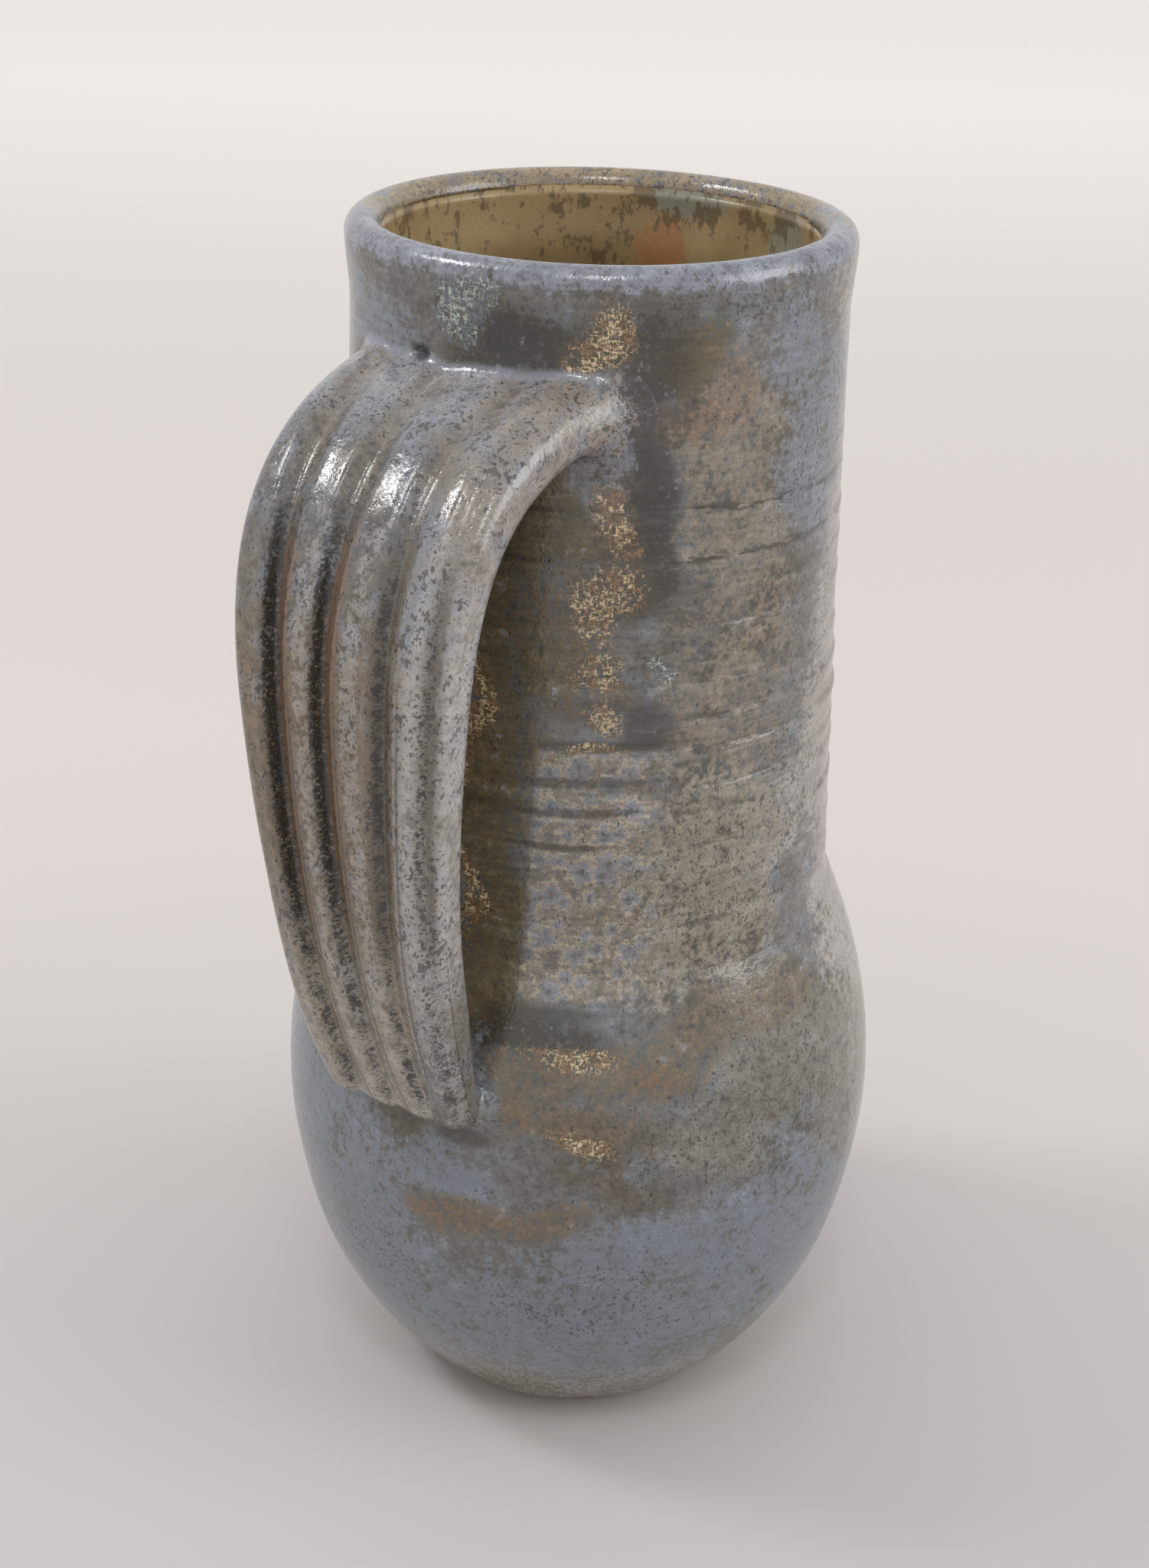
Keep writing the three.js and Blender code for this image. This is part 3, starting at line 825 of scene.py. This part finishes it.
class Shader:
    """Adds nodes to one material, so that its recipe reads in short lines. Sizes are millimetres."""

    def __init__(self, name):
        self.material = bpy.data.materials.new(name)
        self.material.use_nodes = True
        self.tree = self.material.node_tree
        self.tree.nodes.clear()
        self.surface = self.tree.nodes.new("ShaderNodeBsdfPrincipled")
        output = self.tree.nodes.new("ShaderNodeOutputMaterial")
        self.tree.links.new(self.surface.outputs["BSDF"], output.inputs["Surface"])
        coordinates = self.tree.nodes.new("ShaderNodeTexCoord")
        self.place = self.vector("SCALE", coordinates.outputs["Object"], scale=1 / MM)

    def put(self, socket, value):
        if isinstance(value, bpy.types.NodeSocket):
            self.tree.links.new(value, socket)
        else:
            socket.default_value = value

    def set(self, **values):
        """Sets inputs of the surface, named with _ for a space."""
        for key, value in values.items():
            self.put(self.surface.inputs[key.replace("_", " ")], value)

    def math(self, operation, first, second=0.0, third=0.0, clamp=False):
        node = self.tree.nodes.new("ShaderNodeMath")
        node.operation = operation
        node.use_clamp = clamp
        for socket, value in zip(node.inputs, (first, second, third)):
            self.put(socket, value)
        return node.outputs[0]

    def times(self, first, *others):
        for other in others:
            first = self.math("MULTIPLY", first, other)
        return first

    def swing(self, noise, amount, middle=0.0):
        """A noise about one half, turned into a swing of an amount about a middle."""
        return self.math("MULTIPLY_ADD", noise, amount, middle - amount / 2)

    def vector(self, operation, first, second=None, third=None, scale=None):
        node = self.tree.nodes.new("ShaderNodeVectorMath")
        node.operation = operation
        self.put(node.inputs[0], first)
        if second is not None:
            self.put(node.inputs[1], second)
        if third is not None:
            self.put(node.inputs[2], third)
        if scale is not None:
            self.put(node.inputs["Scale"], scale)
        return node.outputs["Value" if operation in ("LENGTH", "DOT_PRODUCT") else "Vector"]

    def step(self, value, low, high, bottom=0.0, top=1.0):
        """A smooth step from bottom, where value is low, to top, where it is high."""
        node = self.tree.nodes.new("ShaderNodeMapRange")
        node.interpolation_type = "SMOOTHSTEP"
        for socket, number in zip(node.inputs, (value, low, high, bottom, top)):
            self.put(socket, number)
        return node.outputs["Result"]

    def noise(self, size, stretch=None, detail=3.0, roughness=0.55, colour=False):
        node = self.tree.nodes.new("ShaderNodeTexNoise")
        place = self.vector("MULTIPLY", self.place, stretch) if stretch else self.place
        self.put(node.inputs["Vector"], place)
        self.put(node.inputs["Scale"], 1 / size)
        self.put(node.inputs["Detail"], detail)
        self.put(node.inputs["Roughness"], roughness)
        return node.outputs["Color" if colour else "Fac"]

    def stars(self, size, place):
        """Star-shaped cells on the face that the camera sees.

        Gives the reach from the middle of the nearest star, as a share of the size, and a chance for each.
        """
        flat = self.tree.nodes.new("ShaderNodeCombineXYZ")
        self.put(flat.inputs[0], self.vector("DOT_PRODUCT", place, STAR_LEVEL))
        self.put(flat.inputs[1], self.separate(place)[2])
        node = self.tree.nodes.new("ShaderNodeTexVoronoi")
        node.voronoi_dimensions = "2D"
        self.put(node.inputs["Vector"], flat.outputs[0])
        self.put(node.inputs["Scale"], 1 / size)
        chance = self.separate(node.outputs["Color"])[0]
        away = self.separate(self.vector("SUBTRACT", flat.outputs[0], node.outputs["Position"]))
        turn = self.math("ARCTAN2", away[1], away[0])
        arms = self.math("SINE", self.math("MULTIPLY_ADD", turn, STAR_ARMS, self.times(chance, math.tau)))
        reach = self.times(node.outputs["Distance"], self.math("MULTIPLY_ADD", arms, -STAR_PULL, 1.0))
        return reach, chance

    def separate(self, vector):
        node = self.tree.nodes.new("ShaderNodeSeparateXYZ")
        self.put(node.inputs[0], vector)
        return node.outputs

    def attribute(self, name):
        node = self.tree.nodes.new("ShaderNodeAttribute")
        node.attribute_name = name
        return node.outputs["Fac"]

    def mix(self, share, first, second):
        node = self.tree.nodes.new("ShaderNodeMix")
        node.data_type = "RGBA"
        for socket, value in zip((node.inputs[0], node.inputs[6], node.inputs[7]), (share, first, second)):
            self.put(socket, value)
        return node.outputs[2]

    def bump(self, height, depth):
        """A bump whose height runs from 0 to 1 over a depth in millimetres."""
        node = self.tree.nodes.new("ShaderNodeBump")
        self.put(node.inputs["Height"], height)
        self.put(node.inputs["Distance"], depth * MM)
        return node.outputs["Normal"]


# Palette of the glazes and the clay
STONE = rgb(102, 101, 99)
BARK = rgb(88, 81, 70)
DRAB = rgb(114, 100, 81)
MIST = rgb(156, 154, 151)
FROST = rgb(147, 146, 149)
TOBACCO = rgb(92, 80, 55)
BEIGE = rgb(132, 124, 109)
BLUE = rgb(111, 118, 127)
LILAC = rgb(122, 125, 136)
OLIVE = rgb(52, 47, 38)
SAND = rgb(120, 108, 93)
VIOLET = rgb(48, 45, 55)
RUST = rgb(116, 87, 62)
OCHRE = rgb(103, 89, 70)
SHELL = rgb(136, 130, 126)
STRAW = rgb(136, 118, 88)
LICHEN = rgb(106, 105, 99)
SAGE = rgb(120, 117, 107)
GOLD = rgb(212, 190, 150)
EMBER = rgb(140, 108, 76)
UMBER = rgb(88, 73, 54)
GREENISH = rgb(178, 186, 174)
SLATE = rgb(84, 87, 89)
DARK = rgb(46, 41, 34)
CREAM = rgb(150, 141, 125)
PALE = rgb(152, 147, 142)
ASH = rgb(100, 98, 97)
NEAR_BLACK = rgb(30, 29, 25)
THREAD = tuple(0.7 * pale + 0.3 * bright for pale, bright in zip(CREAM, GOLD))

WALL_PAINT = (  # zone, colour, strength, and the raggedness of its edge
    # paler glaze with painted light and reflection on the sides
    ("pale", PALE, 0.8, 0.45),
    # dark glaze with painted shade and a painted dark reflection behind the handle
    ("tobacco_and_shade", TOBACCO, 0.9, 0.6),
    # dark olive glaze with a painted dark reflection in the middle of the neck
    ("olive_and_reflection", OLIVE, 0.92, 0.6),
    ("sand", SAND, 0.75, 1.0),
    ("beige", BEIGE, 0.85, 0.8),
    ("blue", BLUE, 0.9, 0.6),
    ("violet", VIOLET, 0.7, 0.7),
    ("lichen", SAGE, 0.65, 0.5),
    ("ochre", OCHRE, 0.85, 0.9),
    ("rust", RUST, 0.42, 1.0),
    ("smear", LILAC, 0.6, 1.0),
)
LUSTRE_GLINTS = (  # zone, colour of the ground, two colours of the flakes, which are painted glints
    ("gold_glints", UMBER, GOLD, EMBER),
    ("sparkle", SLATE, GREENISH, BLUE),
)
STRAP_PAINT = (  # as WALL_PAINT, for the strap
    ("valley", SAND, 0.5, 0.6),
    ("trough", BARK, 0.85, 0.7),
    ("crest", MIST, 0.42, 1.2),
)
CRYSTAL_RINGS = (  # reach where a ring starts and where it is full, strength and colour, from the outside in
    (0.86, 0.8, 0.7, CREAM),
    (0.74, 0.68, 0.8, DRAB),
    (0.64, 0.58, 0.8, SHELL),
    (0.54, 0.5, 0.9, ASH),
    (0.5, 0.42, 0.9, THREAD),
    (0.38, 0.26, 0.85, LILAC),
    (0.2, 0.13, 0.7, BLUE),
    (0.1, 0.05, 0.7, UMBER),
)
STAR_SIZE = 4.4  # of the crystals on the wall
STAR_ARMS = 6
STAR_PULL = 0.24  # how far the arms reach out and the hollows between them in, as a share
STAR_LEVEL = (0.5, -0.866, 0)  # level direction along the wall where the crystals lie
STRAND_HEIGHTS = (88, 110)  # over which the level strands of the neck come in
LIP_BAND = (215, 218.5)  # heights over which the lilac of the lip gathers
FOOT_BAND = (26, 12)  # heights over which cream grains gather at the foot


class Glaze(Shader):
    """The lustre glaze: noises that the wall and the strap share, and a recipe for each."""

    def __init__(self, name):
        super().__init__(name)
        self.height = self.separate(self.place)[2]
        self.clouds = self.noise(24)
        self.blotch = self.noise(7.5, detail=5, roughness=0.62)
        self.mottle = self.noise(2.2, detail=4, roughness=0.62)
        self.grit = self.noise(0.95, detail=3, roughness=0.65)
        rag = self.math("ADD", self.swing(self.blotch, 2.6), self.swing(self.mottle, 3.8))
        self.rag = self.math("ADD", rag, self.swing(self.grit, 3.4))

    def frayed(self, key, raggedness, strength=1.0):
        """A painted zone with ragged edges and thin places."""
        ragged = self.math("MULTIPLY_ADD", self.rag, raggedness, 1.0)
        return self.step(self.times(self.attribute(key), ragged), 0.3, 0.85, 0.0, strength)

    def weathered(self, colour, depth):
        """A colour with light and dark mottling, coarse and fine, to a depth that may vary."""
        light = self.math("ADD", self.swing(self.blotch, 1.0), self.swing(self.mottle, 1.5))
        light = self.math("ADD", light, self.swing(self.grit, 2.0))
        return self.vector("SCALE", colour, scale=self.math("MULTIPLY_ADD", light, depth, 1.0))

    def specks(self, crowd):
        """Dark iron specks with frayed edges: more and larger where the crowd is higher."""
        edge = self.math("MULTIPLY_ADD", crowd, -0.1, 0.64)
        pepper = self.noise(0.85, (1, 1, 0.7), detail=1.5)
        pepper = self.math("MAXIMUM", self.grit, self.math("SUBTRACT", pepper, 0.045))
        return self.step(self.math("SUBTRACT", pepper, edge), 0.0, 0.045)

    def flakes(self):
        """A noise that is high on feathery flakes, which lie upright and level across each other."""
        upright = self.noise(0.3, (1, 1, 0.32), detail=2)
        level = self.noise(0.3, (0.32, 0.32, 1), detail=2)
        return self.math("MAXIMUM", upright, level)

    def wall(self):
        colour = self.mix(self.step(self.clouds, 0.42, 0.58), BARK, STONE)
        colour = self.mix(self.step(self.blotch, 0.5, 0.6, 0.0, 0.5), colour, BLUE)
        for key, tint, strength, raggedness in WALL_PAINT:
            colour = self.mix(self.frayed(key, raggedness, strength), colour, tint)
        foot = self.times(self.step(self.height, *FOOT_BAND), self.step(self.grit, 0.42, 0.56))
        colour = self.mix(self.times(foot, 0.6), colour, CREAM)
        # the crystals, painted paler where they catch a reflection of bright surroundings
        colour = self.mix(self.crystal_share(), colour, self.crystals())
        # dark bands in the rings' hollows, and a painted shadow below the strap's lower end
        colour = self.mix(self.frayed("band_and_shadow", 0.6, 0.7), colour, OLIVE)
        lip = self.math("MULTIPLY_ADD", self.rag, 0.5, self.step(self.height, *LIP_BAND))
        colour = self.mix(self.step(lip, 0.3, 0.8, 0.0, 0.9), colour, LILAC)
        colour = self.mix(self.frayed("khaki", 1.0, 0.9), colour, STRAW)
        calm = self.math("MAXIMUM", self.attribute("blue"), self.attribute("crystal"))
        colour = self.weathered(colour, self.step(calm, 0.2, 0.9, 0.9, 0.35))
        strands = self.noise(0.9, (0.09, 0.09, 1), detail=2)
        strands = self.times(self.swing(strands, 0.9), self.step(self.height, *STRAND_HEIGHTS, 0.25, 1.0))
        colour = self.vector("SCALE", colour, scale=self.math("ADD", strands, 1.0))
        flakes = self.flakes()
        # the lustre's flakes painted as bright glints of light on a darker ground
        for key, ground, bright, deep in LUSTRE_GLINTS:
            colour = self.mix(self.frayed(key, 0.8, 0.75), colour, ground)
            tint = self.mix(self.step(self.mottle, 0.47, 0.55), bright, deep)
            crowded = self.step(self.math("MULTIPLY_ADD", self.attribute(key), 0.06, flakes), 0.56, 0.66)
            colour = self.mix(self.times(self.frayed(key, 1.0), crowded, 0.92), colour, tint)
        dashes = self.noise(2.2, (0.5, 0.5, 2), detail=3)
        # painted highlights along the ledges below the rings' edges
        ledge_highlights = self.times(self.attribute("ledge_highlight"), self.step(dashes, 0.56, 0.46), 0.5)
        colour = self.mix(ledge_highlights, colour, PALE)
        dashes = self.times(self.attribute("line"), self.step(dashes, 0.45, 0.56), 0.9)
        colour = self.mix(dashes, colour, DARK)
        crowd = self.math("MULTIPLY_ADD", self.attribute("specks"), 0.7, self.swing(self.blotch, 2.0, 0.05))
        colour = self.mix(self.times(self.specks(crowd), 0.7), colour, DARK)
        return self.mix(self.attribute("pit"), colour, NEAR_BLACK)

    def crystal_share(self):
        share = self.times(self.attribute("crystal"), self.math("MULTIPLY_ADD", self.rag, 0.5, 1.0))
        return self.step(share, 0.1, 1.0, 0.0, 0.95)

    def crystals(self):
        """Star-shaped crystals: blue with a dark middle and pale threads round them, on a drab ground."""
        stir = self.vector("SUBTRACT", self.noise(0.9, colour=True, detail=2), (0.5, 0.5, 0.5))
        reach, chance = self.stars(STAR_SIZE, self.vector("MULTIPLY_ADD", stir, (3.0, 3.0, 3.0), self.place))
        reach = self.times(reach, self.step(chance, 0.0, 1.0, 1.4, 0.7))
        colour = self.mix(self.step(self.mottle, 0.44, 0.56), STONE, SAND)
        for start, full, strength, tint in CRYSTAL_RINGS:
            colour = self.mix(self.step(reach, start, full, 0.0, strength), colour, tint)
        return colour

    def strap(self):
        along = self.attribute("along")
        left = self.mix(self.step(along, 0.08, 0.2), FROST, ASH)
        left = self.mix(self.step(along, 0.24, 0.4), left, DRAB)
        left = self.mix(self.step(along, 0.58, 0.74), left, CREAM)
        right = self.mix(self.step(along, 0.2, 0.36), SHELL, MIST)
        right = self.mix(self.step(along, 0.6, 0.8), right, LICHEN)
        side = self.math("MULTIPLY_ADD", self.rag, 0.2, self.attribute("across"))
        colour = self.mix(self.step(side, -0.45, -0.75), left, right)
        cool = self.step(along, 0.3, 0.42, 0.6, 0.3)
        colour = self.mix(self.times(self.step(self.blotch, 0.5, 0.58), cool), colour, LILAC)
        colour = self.mix(self.step(self.blotch, 0.48, 0.4, 0.0, 0.35), colour, SAND)
        for key, tint, strength, raggedness in STRAP_PAINT:
            colour = self.mix(self.frayed(key, raggedness, strength), colour, tint)
        rusty_end = self.times(self.step(along, 0.12, 0.06), self.step(self.mottle, 0.52, 0.6), 0.4)
        colour = self.mix(rusty_end, colour, RUST)
        colour = self.weathered(colour, 0.9)
        colour = self.mix(self.frayed("rust_side", 0.5, 0.7), colour, RUST)
        feathers = self.noise(0.7, (1, 0.5, 1.3), detail=4, roughness=0.7)
        dark = self.math("ADD", self.swing(feathers, 5.0, 1.0), self.swing(self.mottle, 2.4))
        patches = self.swing(self.noise(3.5, detail=2), 4.0, -0.1)
        dark = self.math("MULTIPLY_ADD", patches, self.step(along, 0.55, 0.7), dark)
        softness = self.step(along, 0.5, 0.68, 0.75, 1.15)
        # dark glaze and painted shade, near black, on the grooves' steep sides
        dark = self.times(self.attribute("dark"), dark)
        dark = self.step(dark, 0.3, softness, 0.0, 0.95)
        colour = self.mix(dark, colour, NEAR_BLACK)
        colour = self.mix(self.times(self.attribute("crack"), 0.7), colour, DARK)
        specks = self.specks(self.swing(self.blotch, 5.0, 0.5))
        return self.mix(self.times(specks, 0.75), colour, DARK)

    def finish(self, colour):
        relief = self.math("MULTIPLY_ADD", self.grit, 0.4, self.mottle)
        self.set(
            Base_Color=colour,
            Roughness=self.step(self.mottle, 0.4, 0.6, 0.08, 0.24),
            Normal=self.bump(relief, 0.16),
            IOR=1.7,
        )
        return self.material


def outer_glaze():
    glaze = Glaze("outer_glaze")
    return glaze.finish(glaze.wall())


def handle_glaze():
    glaze = Glaze("handle_glaze")
    return glaze.finish(glaze.strap())


def luting_glaze():
    glaze = Glaze("luting_glaze")
    on_strap = glaze.attribute("strap")
    ragged = glaze.math("MULTIPLY_ADD", glaze.rag, 0.5, on_strap)
    colour = glaze.mix(glaze.step(ragged, 0.3, 0.8), glaze.wall(), glaze.strap())
    pooled = glaze.times(glaze.step(on_strap, 0.1, 0.35), glaze.step(on_strap, 0.95, 0.6))
    pooled = glaze.times(pooled, glaze.attribute("pool"), 0.7)
    colour = glaze.mix(pooled, colour, LILAC)
    return glaze.finish(glaze.mix(glaze.attribute("pit"), colour, NEAR_BLACK))


KHAKI = rgb(158, 137, 101)
DARK_KHAKI = rgb(140, 120, 86)
LIVER = rgb(92, 76, 54)
TERRACOTTA = rgb(158, 108, 72)
TEAL = rgb(128, 132, 120)
MOTTLE_HEIGHTS = (200, 218)  # over which the brown mottling gathers
LINER_SPOTS = (  # colour, angle, height, half width and half height
    (TERRACOTTA, 162, 207, 6, 6.5),
    (TEAL, 154, 216, 9, 4),
    (TEAL, 116, 212, 7, 6),
)


def liner_glaze():
    """Khaki glaze with brown mottling that gathers below the rim."""
    shader = Shader("liner_glaze")
    height = shader.separate(shader.place)[2]
    mottle = shader.noise(1.5, (1, 1, 0.6), detail=5, roughness=0.65)
    patches = shader.noise(7.0, detail=2)
    clouds = shader.noise(20)
    colour = shader.mix(shader.step(clouds, 0.35, 0.65), KHAKI, DARK_KHAKI)
    for tint, angle, level, half_across, half_height in LINER_SPOTS:
        turn = math.radians(angle + CAMERA_AZIMUTH)
        radius = RIM_RADIUS + LIP_FLARE - WALL - SKIN
        scale = (1 / half_across, 1 / half_across, 1 / half_height)
        middle = (radius * math.cos(turn), radius * math.sin(turn), level)
        shift = tuple(-c * s for c, s in zip(middle, scale))
        reach = shader.vector("LENGTH", shader.vector("MULTIPLY_ADD", shader.place, scale, shift))
        reach = shader.math("ADD", reach, shader.swing(mottle, 1.2))
        colour = shader.mix(shader.step(reach, 1.0, 0.6, 0.0, 0.75), colour, tint)
    high = shader.step(height, *MOTTLE_HEIGHTS, 0.62, 0.49)
    crowd = shader.math("SUBTRACT", shader.math("ADD", mottle, shader.swing(patches, 0.6)), high)
    colour = shader.mix(shader.step(crowd, 0.0, 0.1, 0.0, 0.75), colour, LIVER)
    shader.set(
        Base_Color=colour,
        Roughness=shader.step(mottle, 0.3, 0.7, 0.18, 0.35),
        Normal=shader.bump(mottle, 0.1),
    )
    return shader.material


CLAY = rgb(126, 100, 80)
DARK_CLAY = rgb(104, 80, 62)
CLAY_GRAIN = rgb(62, 46, 36)


def clay_material():
    """Bare fired stoneware, matt brown with sandy grains."""
    shader = Shader("bare_clay")
    grain = shader.noise(0.7, detail=4, roughness=0.7)
    clouds = shader.noise(9)
    colour = shader.mix(shader.step(clouds, 0.35, 0.65), CLAY, DARK_CLAY)
    colour = shader.mix(shader.step(grain, 0.62, 0.7), colour, CLAY_GRAIN)
    shader.set(Base_Color=colour, Roughness=0.85, Normal=shader.bump(grain, 0.15))
    return shader.material


# Stage, light and camera

def camera_directions():
    """Level direction from the camera to the vessel's axis, and the level direction to its right."""
    azimuth = math.radians(CAMERA_AZIMUTH)
    towards = Vector((-math.cos(azimuth), -math.sin(azimuth), 0))
    return towards, Vector((towards.y, -towards.x, 0))


def make_camera():
    pitch, yaw, roll = (math.radians(turn) for turn in (CAMERA_PITCH, CAMERA_YAW, CAMERA_ROLL))
    towards, level = camera_directions()
    ahead = math.cos(yaw) * towards + math.sin(yaw) * level
    forward = math.cos(pitch) * ahead - math.sin(pitch) * Vector((0, 0, 1))
    right = math.cos(yaw) * level - math.sin(yaw) * towards
    up = right.cross(forward)
    tilted_right = math.cos(roll) * right + math.sin(roll) * up
    tilted_up = math.cos(roll) * up - math.sin(roll) * right
    lens = bpy.data.cameras.new("camera")
    lens.sensor_fit = "VERTICAL"
    lens.sensor_height = SENSOR_HEIGHT
    lens.lens = SENSOR_HEIGHT * FOCAL_PX / PHOTO_HEIGHT_PX
    lens.clip_start = 0.01
    camera = bpy.data.objects.new("camera", lens)
    turn = Matrix((tilted_right, tilted_up, -forward)).transposed().to_4x4()
    eye = -CAMERA_DISTANCE * MM * towards + Vector((0, 0, CAMERA_HEIGHT * MM))
    camera.matrix_world = Matrix.Translation(eye) @ turn
    bpy.context.scene.collection.objects.link(camera)
    bpy.context.scene.camera = camera


FLOOR_REACH = 6.0  # metres
FLOOR_CALM = 500  # reach of the tones of the near floor, on the sides where it doesn't run back
FLOOR_TONES = (  # distance behind the vessel's axis, and the tone painted on the paper there: painted shade near and in front of the vessel, painted light far behind it
    (-100, rgb(193, 188, 187)),
    (300, rgb(209, 202, 199)),
    (1700, rgb(252, 247, 243)),
)


def make_floor():
    mesh = bpy.data.meshes.new("floor")
    corners = [(-1, -1, 0), (1, -1, 0), (1, 1, 0), (-1, 1, 0)]
    mesh.from_pydata([Vector(corner) * FLOOR_REACH for corner in corners], [], [(0, 1, 2, 3)])
    floor = bpy.data.objects.new("floor", mesh)
    shader = Shader("floor_paper")
    # painted light and shade: the paper darkens towards the camera and near the vessel, and pales far behind
    behind = shader.vector("DOT_PRODUCT", shader.place, tuple(camera_directions()[0]))
    around = shader.math("SUBTRACT", shader.vector("LENGTH", shader.place), FLOOR_CALM)
    behind = shader.math("MAXIMUM", behind, around)
    start, colour = FLOOR_TONES[0]
    for stop, tone in FLOOR_TONES[1:]:
        colour = shader.mix(shader.step(behind, start, stop), colour, tone)
        start = stop
    shader.set(Base_Color=colour, Roughness=0.9)
    floor.data.materials.append(shader.material)
    bpy.context.scene.collection.objects.link(floor)


LAMP_DISTANCE = 1.2  # metres
LAMPS = (  # name, direction from the vessel's middle, size in metres and power in watts
    ("window", (-0.32, 0.55, 0.77), 0.23, 3.6),
    ("ceiling", (-0.47, -0.27, 0.84), 0.2, 1.8),
    ("fill", (0.3, -0.9, 0.4), 0.7, 4.6),
)
WORLD_LIGHT = 0.83


def make_lights():
    world = bpy.data.worlds.new("studio")
    world.use_nodes = True
    background = world.node_tree.nodes["Background"]
    background.inputs["Color"].default_value = (1, 1, 1, 1)
    background.inputs["Strength"].default_value = WORLD_LIGHT
    bpy.context.scene.world = world
    middle = Vector((0, 0, BODY_HEIGHT * MM / 2))
    for name, direction, size, power in LAMPS:
        light = bpy.data.lights.new(name, "AREA")
        light.size = size
        light.energy = power
        lamp = bpy.data.objects.new(name, light)
        towards = Vector(direction).normalized()
        lamp.location = middle + towards * LAMP_DISTANCE
        lamp.rotation_euler = towards.to_track_quat("Z", "Y").to_euler()
        bpy.context.scene.collection.objects.link(lamp)


bpy.context.scene.view_settings.view_transform = "Standard"
make_camera()
make_floor()
make_lights()
make_outer_glaze(outer_glaze())
make_handle(handle_glaze(), luting_glaze())
make_liner(liner_glaze())
clay = clay_material()
make_clay_body(clay)
make_clay_strap(clay)
